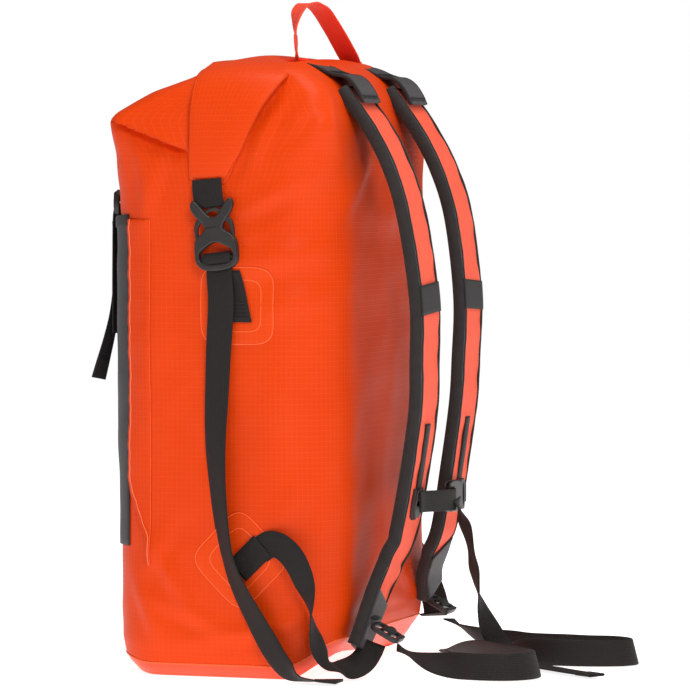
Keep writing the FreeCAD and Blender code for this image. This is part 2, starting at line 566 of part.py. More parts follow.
# ---------------------------------------------------------------- ladder locks at the strap ends
# Each lock: height above the strap's foot, then across and out from the strap's middle at that height.
LOCK_PLACES = {"near": (22.7, 6.8, 9.7), "far": (-6.6, 0, -1.5)}
LOCKS = {}
for side, sign in SIDES:
    rise, over, out = LOCK_PLACES[side]
    height = STRAPS[side][0].z + rise
    spot = between(STRAPS[side], height, RAIL_HIGH)[0]
    LOCKS[side] = Vector(sign * (spot.x + over), spot.y + out, height)
    half_w, half_t = "Dim.lock_width / 2", "Dim.lock_thick / 2"
    frame = box(side + "_lock_block", (f"-({half_w})", half_w), ("0", "Dim.lock_length"),
                (f"-({half_t})", half_t), final=False)
    opening = f"({half_w} - Dim.lock_bar)"
    slots = [box(f"{side}_lock_slot_{n}", (f"-{opening}", opening), (y0, y1), ("-9", "9"), final=False)
             for n, (y0, y1) in enumerate((("4", "9"), ("13", "18"),
                                           ("21", "Dim.lock_length - Dim.lock_bar")))]
    lock = cut(side + "_ladder_lock", frame, *slots)
    lock.Placement = Placement(LOCKS[side], Rotation(Vector(1, 0, 0), -size("lock_slope")))
loops = []
for side, sign in SIDES:
    top = LOCKS[side] + Vector(0, -0.5, 4.5)
    if side == "near":
        loop = [top + Vector(0, 0.6, 1.2), top + Vector(0, 5, 1.2)]
    else:
        loop = [top + Vector(0, -1.5, 2.0), top]
    loops.append(ribbon(side + "_lock_loop", loop, -8, 8, 0, size("web_thick"), final=False))
group("lock_loops", *loops)

# ---------------------------------------------------------------- free webbing
CORDS = {
    "near_closure_tail": [(172.8, 5, 370), (172.8, 7, 348), (172.5, 4, 305), (172.6, 2.2, 260),
                          (172.5, 0.5, 220), (172.6, 2.5, 183), (172.5, 6, 147), (172.6, 12, 111),
                          (173, 24, 84), (173.2, 38, 60), (173.5, 52, 36), (173.7, 66, 15), (174, 82, 4),
                          (174, 101, 3.2), (174, 121, 3.2)],
    "near_adjuster": [(169.4, 47, 127), (173, 60, 127), (176, 74, 118), (177.5, 85, 100), (175, 91, 80),
                      (172, 92, 60), (168, 94, 42), (161, 99, 26), (151, 106, 14), (140, 115, 9.5),
                      (129, 125, 13), (121, 132, 22), (117, 136, 34)],
    "near_tail": [(112, 157, 29.5), (107, 169, 21.5), (102, 186, 15.5), (102, 207, 13.2), (106, 229, 13),
                  (106, 250, 13), (98, 268, 13), (80, 279, 13), (58, 278, 13), (40, 265, 13),
                  (24, 246, 13.2), (8, 226, 13), (-10, 207, 13.2), (-30, 190, 12), (-52, 174, 8.5),
                  (-74, 160, 4.5), (-92, 148, 3.2)],
    "far_tail": [(-111, 140, 33.5), (-108, 153, 26), (-104, 171, 19.5), (-99, 192, 15), (-94, 215, 13.2),
                 (-90, 239, 13), (-88, 264, 13.2), (-87, 289, 13), (-88, 312, 13.2), (-82, 331, 13),
                 (-65, 340, 13), (-48, 332, 13), (-39, 314, 13), (-34, 292, 13), (-32, 268, 13.2),
                 (-36, 245, 13), (-46, 224, 12), (-60, 206, 7.5), (-76, 192, 3.6)],
    "far_adjuster": [(-169.4, 47, 127), (-174, 59, 122), (-177, 72, 110), (-176, 84, 94), (-173, 94, 76),
                     (-167, 104, 60), (-158, 112, 46), (-146, 117, 36), (-133, 118.5, 33), (-121, 120, 38)],
    "sternum_tail": [(-1, 173, 141), (-5, 180, 124), (-9, 186, 104), (-14, 191, 82), (-20, 197, 58),
                     (-26, 205, 36), (-30, 216, 17), (-26, 232, 6), (-14, 249, 3.4), (3, 267, 3.2),
                     (21, 287, 3.4), (38, 309, 3.2), (53, 332, 3.2)],
    "pocket_tail": [(102, -126, 422), (102.5, -126.3, 402), (102, -127, 379), (102.6, -128, 356),
                    (102, -130, 333), (102.5, -133.5, 311), (102, -138, 291), (102.4, -142, 273)],
}


def cord(name, points):
    """Round tube along straight runs joined by tangent arcs as large as the runs allow."""
    spots = [Vector(*p) for p in points]
    edges, at, radii = [], spots[0], []
    for before, here, after in zip(spots, spots[1:], spots[2:]):
        back, ahead = (before - here), (after - here)
        reach = 0.45 * min(back.Length, ahead.Length)
        back.normalize()
        ahead.normalize()
        half_turn = (math.pi - back.getAngle(ahead)) / 2
        radii.append(reach / math.tan(half_turn))
        enter, leave = here + back * reach, here + ahead * reach
        bisector = (back + ahead).normalize()
        centre_far = radii[-1] / math.cos(half_turn)
        middle = here + bisector * (centre_far - radii[-1])
        edges += [Part.LineSegment(at, enter).toShape(), Part.Arc(enter, middle, leave).toShape()]
        at = leave
    edges.append(Part.LineSegment(at, spots[-1]).toShape())
    path = Part.Wire(edges)
    radius = size("cord_tube") / 2
    ring = Part.Wire(Part.Circle(spots[0], spots[1] - spots[0], radius).toShape())
    item = doc.addObject("Part::Feature", name)
    item.Shape = path.makePipeShell([ring], True, False)
    ratio = item.Shape.Volume / (math.pi * radius ** 2 * path.Length)
    print(f"{name}: length {path.Length:.0f}, smallest radius {min(radii):.0f}, volume ratio {ratio:.4f}")
    return keep(item, name)


for name, points in CORDS.items():
    cord(name, points)

# ---------------------------------------------------------------- check and write
doc.recompute()
for item in doc.Objects:
    if {"Invalid", "Error"} & set(item.State):
        raise RuntimeError(f"{item.Label}: {item.State}")
for item in parts:
    shape = item.Shape
    if shape.isNull() or not shape.isValid() or not shape.Solids or shape.Volume <= 0:
        raise RuntimeError(f"{item.Label} is not a sound solid")
    shape.exportStep(f"parts/{item.Label}.step")
print(len(parts), "sub-parts written")
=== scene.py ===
"""Roll-top dry backpack: the visual model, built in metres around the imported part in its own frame."""

import logging
import math
from dataclasses import dataclass
from enum import Enum
from typing import Callable, Sequence

import bmesh
import bpy
import numpy as np
from mathutils import Matrix, Vector, noise
from mathutils.bvhtree import BVHTree


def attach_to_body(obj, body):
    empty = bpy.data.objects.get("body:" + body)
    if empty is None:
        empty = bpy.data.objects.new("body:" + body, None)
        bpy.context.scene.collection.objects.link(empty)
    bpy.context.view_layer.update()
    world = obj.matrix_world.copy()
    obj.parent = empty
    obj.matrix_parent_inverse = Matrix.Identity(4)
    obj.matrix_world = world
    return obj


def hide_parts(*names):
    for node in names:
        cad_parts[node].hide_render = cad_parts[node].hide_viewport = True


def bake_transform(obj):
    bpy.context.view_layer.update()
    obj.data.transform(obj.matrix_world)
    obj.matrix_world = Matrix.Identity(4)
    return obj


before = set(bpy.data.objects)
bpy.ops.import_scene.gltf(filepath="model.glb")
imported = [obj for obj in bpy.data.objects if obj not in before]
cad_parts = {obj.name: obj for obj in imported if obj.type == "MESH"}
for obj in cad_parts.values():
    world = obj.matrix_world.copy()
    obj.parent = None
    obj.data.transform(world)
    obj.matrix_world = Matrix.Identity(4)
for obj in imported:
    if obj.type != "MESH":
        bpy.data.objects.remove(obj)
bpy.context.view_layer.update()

LOG = logging.getLogger("dry_backpack")
MM = 0.001
Array = np.ndarray
Spot = tuple[float, float, float]
Pair = tuple[float, float]
Material = bpy.types.Material
Piece = bpy.types.Object
CURVE_STEPS = 24  # points read between two given points of a smooth curve
SHARP_ANGLE = 40.0  # degrees beyond which a moulded edge stays sharp
WEB_THICK = 1.5  # free webbing, in millimetres
FLOOR_GAP = 0.0009  # least height of the middle of a free web, in metres


class Side(Enum):
    """The two sides of the bag; near is +X."""

    NEAR = 1
    FAR = -1

    @property
    def word(self) -> str:
        """Word that node names start with."""
        return self.name.lower()


class Lay(Enum):
    """Direction in which a strip's flat runs across its path."""

    ACROSS_X = (1.0, 0.0, 0.0)
    ACROSS_Y = (0.0, 1.0, 0.0)
    UPRIGHT = (0.0, 0.0, 1.0)


# ---------------------------------------------------------------- colours and nodes
def linear(code: str) -> tuple[float, float, float, float]:
    """Turn an sRGB hex code into a linear colour.

    Args:
        code: Six hex digits after a hash.

    Returns:
        Red, green, blue and an alpha of one.
    """
    parts = [int(code[i:i + 2], 16) / 255 for i in (1, 3, 5)]
    red, green, blue = (c / 12.92 if c <= 0.04045 else ((c + 0.055) / 1.055) ** 2.4 for c in parts)
    return red, green, blue, 1.0


def add(tree: bpy.types.NodeTree, kind: str, settings: dict | None = None, **links) -> bpy.types.Node:
    """Add one node with its settings, values and links.

    Args:
        tree: Node tree that gets it.
        kind: Node type, without its "ShaderNode" start.
        settings: Properties of the node.
        **links: Socket name, or in_N for input N, with a value or an output socket.

    Returns:
        The node.
    """
    made = tree.nodes.new("ShaderNode" + kind)
    for name, value in (settings or {}).items():
        setattr(made, name, value)
    for name, value in links.items():
        socket = made.inputs[int(name[3:]) if name.startswith("in_") else name.replace("_", " ")]
        if isinstance(value, bpy.types.NodeSocket):
            tree.links.new(value, socket)
        else:
            socket.default_value = value
    return made


def blank(name: str, rough: float, level: float = 0.5) -> tuple[Material, bpy.types.Node]:
    """Make a material with one principled shader.

    Args:
        name: Material name.
        rough: Roughness of the surface.
        level: Specular level.

    Returns:
        The material and its shader.
    """
    material = bpy.data.materials.new(name)
    material.use_nodes = True
    shader = material.node_tree.nodes["Principled BSDF"]
    shader.inputs["Roughness"].default_value = rough
    shader.inputs["Specular IOR Level"].default_value = level
    return material, shader


def two_tone(tree: bpy.types.NodeTree, mask: bpy.types.NodeSocket, dark: str,
             light: str) -> bpy.types.NodeSocket:
    """Colour that goes from one sRGB code to another with a mask.

    Args:
        tree: Node tree.
        mask: Output that is nought for dark and one for light.
        dark: First colour.
        light: Second colour.

    Returns:
        Output with the colour.
    """
    mixed = add(tree, "Mix", {"data_type": "RGBA"}, Factor=mask, in_6=linear(dark), in_7=linear(light))
    return mixed.outputs[2]


def attach(tree: bpy.types.NodeTree, shader: bpy.types.Node, colour: bpy.types.NodeSocket,
           bump: bpy.types.Node) -> None:
    """Put a colour and a bump on a shader.

    Args:
        tree: Node tree.
        shader: Shader that gets them.
        colour: Output with the colour.
        bump: Bump node.
    """
    tree.links.new(colour, shader.inputs["Base Color"])
    tree.links.new(bump.outputs[0], shader.inputs["Normal"])


def lines(tree: bpy.types.NodeTree, source: bpy.types.NodeSocket, pitch: float,
          share: float) -> bpy.types.NodeSocket:
    """Mask of evenly spaced lines along one coordinate.

    Args:
        tree: Node tree.
        source: Coordinate in metres.
        pitch: Distance between lines, in millimetres.
        share: Share of the pitch that a line takes.

    Returns:
        Output that is one on the lines.
    """
    count = add(tree, "Math", {"operation": "MULTIPLY"}, in_0=source, in_1=1000.0 / pitch)
    fold = add(tree, "Math", {"operation": "PINGPONG"}, in_0=count.outputs[0], in_1=0.5)
    return add(tree, "MapRange", {"interpolation_type": "SMOOTHSTEP"}, Value=fold.outputs[0],
               From_Min=share / 2,
               From_Max=0.0, To_Min=0.0, To_Max=1.0).outputs[0]


@dataclass(frozen=True)
class CoatedRipstop:
    """Ripstop nylon coated with TPU: the coat gives a soft broken gloss, the ripstop a faint raised grid."""

    name: str = "tpu_coated_ripstop"
    deep: str = "#D63802"
    light: str = "#EA4606"
    thread: str = "#FF6A2C"
    pitch: float = 4.9  # spacing of the ripstop threads
    rough: float = 0.46

    def build(self) -> Material:
        """Make the material."""
        material, shader = blank(self.name, self.rough, 0.12)
        tree = material.node_tree
        place = add(tree, "UVMap")
        parts = add(tree, "SeparateXYZ", Vector=place.outputs[0])
        across = lines(tree, parts.outputs[0], self.pitch, 0.2)
        along = lines(tree, parts.outputs[1], self.pitch, 0.2)
        grid = add(tree, "Math", {"operation": "MAXIMUM"}, in_0=across, in_1=along)
        where = add(tree, "TexCoord")
        cloud = add(tree, "TexNoise", Vector=where.outputs["Object"], Scale=9.0, Detail=3.0)
        tone = two_tone(tree, cloud.outputs[0], self.deep, self.light)
        faint = add(tree, "Math", {"operation": "MULTIPLY"}, in_0=grid.outputs[0], in_1=0.16)
        colour = add(tree, "Mix", {"data_type": "RGBA"}, Factor=faint.outputs[0], in_6=tone,
                     in_7=linear(self.thread))
        grain = add(tree, "TexNoise", Vector=where.outputs["Object"], Scale=900.0, Detail=2.0)
        soft = add(tree, "Bump", Strength=0.12, Distance=0.0004, Height=grain.outputs[0])
        raised = add(tree, "Bump", Strength=0.35, Distance=0.0003, Height=grid.outputs[0],
                     Normal=soft.outputs[0])
        attach(tree, shader, colour.outputs[2], raised)
        shader.inputs["Coat Weight"].default_value = 0.04
        shader.inputs["Coat Roughness"].default_value = 0.28
        return material


@dataclass(frozen=True)
class Webbing:
    """Woven nylon or polyester webbing: dull, with fine ribs across it and a tighter edge."""

    name: str
    dark: str
    light: str
    rib: float = 1.5  # real ribs are 0.9 mm apart; drawn coarser so that they show
    rough: float = 0.72

    def build(self) -> Material:
        """Make the material."""
        material, shader = blank(self.name, self.rough, 0.3)
        tree = material.node_tree
        place = add(tree, "UVMap")
        parts = add(tree, "SeparateXYZ", Vector=place.outputs[0])
        ribs = lines(tree, parts.outputs[1], self.rib, 0.9)
        warp = lines(tree, parts.outputs[0], self.rib * 1.4, 0.8)
        weave = add(tree, "Math", {"operation": "MULTIPLY"}, in_0=ribs, in_1=warp)
        where = add(tree, "TexCoord")
        fuzz = add(tree, "TexNoise", Vector=where.outputs["Object"], Scale=260.0, Detail=3.0)
        both = add(tree, "Math", {"operation": "MULTIPLY"}, in_0=weave.outputs[0], in_1=fuzz.outputs[0])
        tone = two_tone(tree, both.outputs[0], self.dark, self.light)
        bump = add(tree, "Bump", Strength=0.6, Distance=0.0004, Height=both.outputs[0])
        attach(tree, shader, tone, bump)
        shader.inputs["Sheen Weight"].default_value = 0.05
        shader.inputs["Sheen Roughness"].default_value = 0.5
        return material


@dataclass(frozen=True)
class WovenCloth:
    """Plain woven pack cloth or spacer mesh: matt, with a fine two-way weave."""

    name: str
    dark: str
    light: str
    pitch: float = 1.6
    rough: float = 0.8
    sheen: float = 0.1

    def build(self) -> Material:
        """Make the material."""
        material, shader = blank(self.name, self.rough, 0.3)
        tree = material.node_tree
        where = add(tree, "TexCoord")
        cells = add(tree, "TexVoronoi", Vector=where.outputs["Object"], Scale=1000.0 / self.pitch)
        fuzz = add(tree, "TexNoise", Vector=where.outputs["Object"], Scale=120.0, Detail=4.0)
        tone = two_tone(tree, fuzz.outputs[0], self.dark, self.light)
        bump = add(tree, "Bump", Strength=0.45, Distance=0.0004, Height=cells.outputs[0])
        attach(tree, shader, tone, bump)
        shader.inputs["Sheen Weight"].default_value = self.sheen
        return material


@dataclass(frozen=True)
class MouldedAcetal:
    """Injection-moulded acetal: satin, finely spark-eroded, a little paler where handling polished it."""

    name: str = "moulded_acetal"
    dark: str = "#1E1B1A"
    light: str = "#2E2A28"
    rough: float = 0.38

    def build(self) -> Material:
        """Make the material."""
        material, shader = blank(self.name, self.rough, 0.45)
        tree = material.node_tree
        where = add(tree, "TexCoord")
        cloud = add(tree, "TexNoise", Vector=where.outputs["Object"], Scale=70.0, Detail=2.0)
        tone = two_tone(tree, cloud.outputs[0], self.dark, self.light)
        grit = add(tree, "TexNoise", Vector=where.outputs["Object"], Scale=2400.0, Detail=1.0)
        bump = add(tree, "Bump", Strength=0.1, Distance=0.0002, Height=grit.outputs[0])
        attach(tree, shader, tone, bump)
        return material


class Finishes:
    """Every material of the bag, made once."""

    def __init__(self) -> None:
        """Build the materials."""
        self.ripstop = CoatedRipstop().build()
        self.film = CoatedRipstop("welded_tpu_patch", "#DA3C04", "#EC4A0A", "#FF6A2C", 4.9, 0.42).build()
        # The base cloth's paler, pinker colour is painted light: it stands in for light thrown up from the
        # pale floor onto the bag's rounded bottom.
        self.base = CoatedRipstop("base_cloth_painted_floor_light", "#EE5032", "#F65C3E", "#FF7450", 4.9, 0.32).build()
        self.weld = CoatedRipstop("pressed_weld_edge", "#FF5E2C", "#FF7040", "#FF7C50", 4.9, 0.34).build()
        self.webbing = Webbing("black_polyester_webbing", "#161210", "#352D29").build()
        self.loop = Webbing("orange_nylon_webbing", "#F03A14", "#FF6A48", 1.3, 0.6).build()
        self.thread = WovenCloth("orange_bonded_thread", "#FF6A40", "#FF8C62", 0.8).build()
        self.shell = WovenCloth("orange_strap_cloth", "#EE400E", "#FF5826", 1.1, 0.66).build()
        self.mesh = WovenCloth("black_spacer_mesh", "#171413", "#2E2926", 2.2, 0.9, 0.15).build()
        self.tape = WovenCloth("black_binding_tape", "#1A1716", "#2F2A28", 1.0, 0.75).build()
        self.pack = WovenCloth("charcoal_pack_cloth", "#262122", "#3A3436", 1.2, 0.62).build()
        self.acetal = MouldedAcetal().build()


# ---------------------------------------------------------------- mesh builders
def unit(rows: Array) -> Array:
    """Rows scaled to length one."""
    return rows / np.maximum(np.linalg.norm(rows, axis=-1, keepdims=True), 1e-9)


def distances(line: Array) -> Array:
    """Distance along a line from its start to each of its points."""
    return np.concatenate([[0], np.cumsum(np.linalg.norm(np.diff(line, axis=0), axis=1))])


def closed(ring: Array, more: int = 1) -> Array:
    """Ring with its first points repeated at the end."""
    return np.vstack([ring, ring[:more]])


def lattice(across: Array, up: Array) -> Array:
    """Texture places of a grid, from the distances of its columns and rows."""
    return np.stack(np.broadcast_arrays(across[None, :], up[:, None]), axis=-1)


def placed(name: str, data: bpy.types.ID) -> Piece:
    """Object with that data, linked to the scene."""
    made = bpy.data.objects.new(name, data)
    bpy.context.scene.collection.objects.link(made)
    return made


def smooth(points: Sequence[Spot], step: float = 4.0) -> Array:
    """Pass a smooth curve through points and space it evenly.

    Args:
        points: Points in millimetres.
        step: Distance between the points that come back.

    Returns:
        Points on the curve.
    """
    p = np.array(points, float)
    p = np.vstack([2 * p[0] - p[1], p, 2 * p[-1] - p[-2]])
    out = []
    for i in range(1, len(p) - 2):
        t = np.linspace(0, 1, CURVE_STEPS, endpoint=False)[:, None]
        a, b, c, d = p[i - 1], p[i], p[i + 1], p[i + 2]
        out.append(0.5 * (2 * b + (c - a) * t + (2 * a - 5 * b + 4 * c - d) * t**2
                          + (3 * b - a - 3 * c + d) * t**3))
    return spaced(np.vstack(out + [p[-2:-1]]), step)


def spaced(line: Array, step: float) -> Array:
    """Line with its points about one step apart."""
    far = distances(line)
    at = np.linspace(0, far[-1], max(3, int(far[-1] / step) + 1))
    return np.stack([np.interp(at, far, line[:, k]) for k in range(3)], axis=1)


def face_out(mesh: bpy.types.Mesh) -> None:
    """Turn every face of a mesh outwards."""
    work = bmesh.new()
    work.from_mesh(mesh)
    bmesh.ops.recalc_face_normals(work, faces=work.faces)
    work.to_mesh(mesh)
    work.free()


def mesh_piece(name: str, verts: Array, faces: Sequence[Sequence[int]], material: Material,
               uv: Callable[[int, int], Pair] | None = None) -> Piece:
    """Make one mesh piece from millimetre points.

    Args:
        name: Piece name.
        verts: Points in millimetres.
        faces: Point numbers of each face.
        material: Its finish.
        uv: Gives the texture place, in millimetres, of a face's corner.

    Returns:
        The piece.
    """
    mesh = bpy.data.meshes.new(name)
    mesh.from_pydata((np.asarray(verts, float) * MM).tolist(), [], [list(f) for f in faces])
    if uv is not None:
        layer = mesh.uv_layers.new(name="UVMap")
        for number, face in enumerate(mesh.polygons):
            for corner, loop in enumerate(face.loop_indices):
                u, v = uv(number, corner)
                layer.data[loop].uv = (u * MM, v * MM)
    face_out(mesh)
    mesh.polygons.foreach_set("use_smooth", [True] * len(mesh.polygons))
    mesh.materials.append(material)
    return placed(name, mesh)


def sheet(name: str, grid: Array, uv: Array, material: Material, wrap: bool = False,
          thick: float = 0.0, caps: Sequence[int] = (0, -1)) -> Piece:
    """Make a surface from a grid of points.

    Args:
        name: Piece name.
        grid: Rows by columns of points, in millimetres.
        uv: Texture places of the same rows, with one more column if it wraps.
        material: Its finish.
        wrap: True if the last column joins the first.
        thick: Thickness given to an open surface, in millimetres.
        caps: Rows that are closed with a face, when it wraps.

    Returns:
        The piece.
    """
    rows, cols = grid.shape[:2]
    faces, places = [], []
    for r in range(rows - 1):
        for c in range(cols if wrap else cols - 1):
            d = (c + 1) % cols
            faces.append((r * cols + c, r * cols + d, (r + 1) * cols + d, (r + 1) * cols + c))
            places.append((uv[r, c], uv[r, c + 1], uv[r + 1, c + 1], uv[r + 1, c]))
    if wrap:
        for r in (cap % rows for cap in caps):
            faces.append(tuple(r * cols + c for c in range(cols)))
            places.append(tuple(uv[r, c] for c in range(cols)))
    piece = mesh_piece(name, grid.reshape(-1, 3), faces, material, lambda f, k: tuple(places[f][k]))
    if thick:
        solid = piece.modifiers.new("thickness", "SOLIDIFY")
        solid.thickness, solid.offset = thick * MM, 0.0
    return piece


def sweep(name: str, path: Array, across: Array, profile: Sequence[Pair],
          material: Material, scale: Array | None = None) -> Piece:
    """Sweep a closed profile along a path.

    Args:
        name: Piece name.
        path: Points in millimetres.
        across: Direction of the profile's width, one for all points or one for each.
        profile: Corners as (across, out) in millimetres.
        material: Its finish.
        scale: Width scale at each point.

    Returns:
        The piece.
    """
    tangent = unit(np.gradient(path, axis=0))
    wide = np.broadcast_to(np.asarray(across, float), path.shape)
    wide = unit(wide - (wide * tangent).sum(1, keepdims=True) * tangent)
    out = np.cross(tangent, wide)
    grow = np.ones(len(path)) if scale is None else scale
    ring = np.array(profile, float)
    grid = (path[:, None] + wide[:, None] * (ring[None, :, :1] * grow[:, None, None])
            + out[:, None] * ring[None, :, 1:])
    far = distances(path)
    return sheet(name, grid, lattice(distances(closed(ring)), far), material, wrap=True)


def flat(width: float, thick: float, lift: float = 0.0, low: float | None = None) -> list[Pair]:
    """Rounded flat profile.

    Args:
        width: Full width.
        thick: Full thickness.
        lift: How far its middle stands out of the path.
        low: First edge, when it doesn't straddle the path.

    Returns:
        Corners as (across, out).
    """
    a = -width / 2 if low is None else low
    b, e, t = a + width, min(thick / 2, width / 4), thick / 2
    n = max(2, int(width / 5))
    top = [(a + e + (b - a - 2 * e) * i / n, lift + t) for i in range(n + 1)]
    return top + [(b - 0.3 * e, lift + 0.6 * t), (b, lift), (b - 0.3 * e, lift - 0.6 * t)] \
        + [(x, lift - t) for x, _ in reversed(top)] + [(a + 0.3 * e, lift - 0.6 * t), (a, lift),
                                                      (a + 0.3 * e, lift + 0.6 * t)]


def rounded(corners: Sequence[Pair], passes: int = 2) -> list[Pair]:
    """Corner-cut a polygon until it looks moulded."""
    p = [np.array(c, float) for c in corners]
    for _ in range(passes):
        p = [q for a, b in zip(p, p[1:] + p[:1]) for q in (a * 0.75 + b * 0.25, a * 0.25 + b * 0.75)]
    return [(float(x), float(y)) for x, y in p]


def moulding(name: str, outline: Sequence[Pair], holes: Sequence[Sequence[Pair]],
             thick: float, edge: float, place: Matrix, material: Material,
             passes: int = 2) -> Piece:
    """Make a moulded plate with holes and rounded edges.

    Args:
        name: Piece name.
        outline: Outer corners, in millimetres.
        holes: Corners of each hole.
        thick: Full thickness.
        edge: Radius of its edges.
        place: Where the plate's own axes go, in millimetres.
        material: Its finish.
        passes: How often the corners are cut.

    Returns:
        The piece.
    """
    curve = bpy.data.curves.new(name, "CURVE")
    curve.dimensions, curve.fill_mode = "2D", "BOTH"
    curve.extrude, curve.bevel_depth, curve.bevel_resolution = thick / 2 - edge, edge, 3
    curve.offset = -edge
    for ring in (outline, *holes):
        spline = curve.splines.new("POLY")
        spots = rounded(ring, passes)
        spline.points.add(len(spots) - 1)
        spline.points.foreach_set("co", [c for x, y in spots for c in (x, y, 0, 1)])
        spline.use_cyclic_u = True
    holder = bpy.data.objects.new(name + "_curve", curve)
    mesh = bpy.data.meshes.new_from_object(holder)
    bpy.data.objects.remove(holder)
    bpy.data.curves.remove(curve)
    mesh.name = name
    mesh.transform(Matrix.Scale(MM, 4) @ place)
    face_out(mesh)
    mesh.materials.clear()
    mesh.materials.append(material)
    mesh.polygons.foreach_set("use_smooth", [True] * len(mesh.polygons))
    mesh.set_sharp_from_angle(angle=math.radians(SHARP_ANGLE))
    return placed(name, mesh)


def nurbs(points: Sequence[Spot]) -> Array:
    """Read a smooth line that a route's points control.

    Args:
        points: Route in metres.

    Returns:
        Points on the line, in metres.
    """
    curve = bpy.data.curves.new("route", "CURVE")
    curve.dimensions, curve.resolution_u = "3D", 16
    spline = curve.splines.new("NURBS")
    spline.points.add(len(points) - 1)
    for point, spot in zip(spline.points, points):
        point.co = (*spot, 1.0)
    spline.order_u = 3
    spline.use_endpoint_u = True
    holder = bpy.data.objects.new("route", curve)
    mesh = bpy.data.meshes.new_from_object(holder)
    line = np.array([v.co for v in mesh.vertices], float)
    bpy.data.objects.remove(holder)
    bpy.data.curves.remove(curve)
    bpy.data.meshes.remove(mesh)
    return line


def join(name: str, pieces: Sequence[Piece]) -> Piece:
    """Join pieces into one mesh of that name."""
    dg = bpy.context.evaluated_depsgraph_get()
    whole = bmesh.new()
    materials: list[Material] = []
    for piece in pieces:
        mesh = bpy.data.meshes.new_from_object(piece.evaluated_get(dg))
        slots = []
        for material in mesh.materials:
            if material not in materials:
                materials.append(material)
            slots.append(materials.index(material))
        for face in mesh.polygons:
            face.material_index = slots[face.material_index] if slots else 0
        whole.from_mesh(mesh)
        bpy.data.meshes.remove(mesh)
    joined = bpy.data.meshes.new(name)
    whole.to_mesh(joined)
    whole.free()
    for material in materials:
        joined.materials.append(material)
    for piece in pieces:
        bpy.data.objects.remove(piece)
    return placed(name, joined)


def settle(piece: Piece, body: str, slot: str, *nodes: str) -> Piece:
    """Put a piece on its body and hide the nodes that it stands for."""
    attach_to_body(piece, body)
    if nodes:
        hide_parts(*nodes)
    LOG.info("%s rides on %s", piece.name, body)
    return piece


# ---------------------------------------------------------------- the filled bag
def ease(x: Array, low: float, high: float) -> Array:
    """Smooth step from nought at low to one at high."""
    t = np.clip((x - low) / (high - low), 0, 1)
    return t * t * (3 - 2 * t)


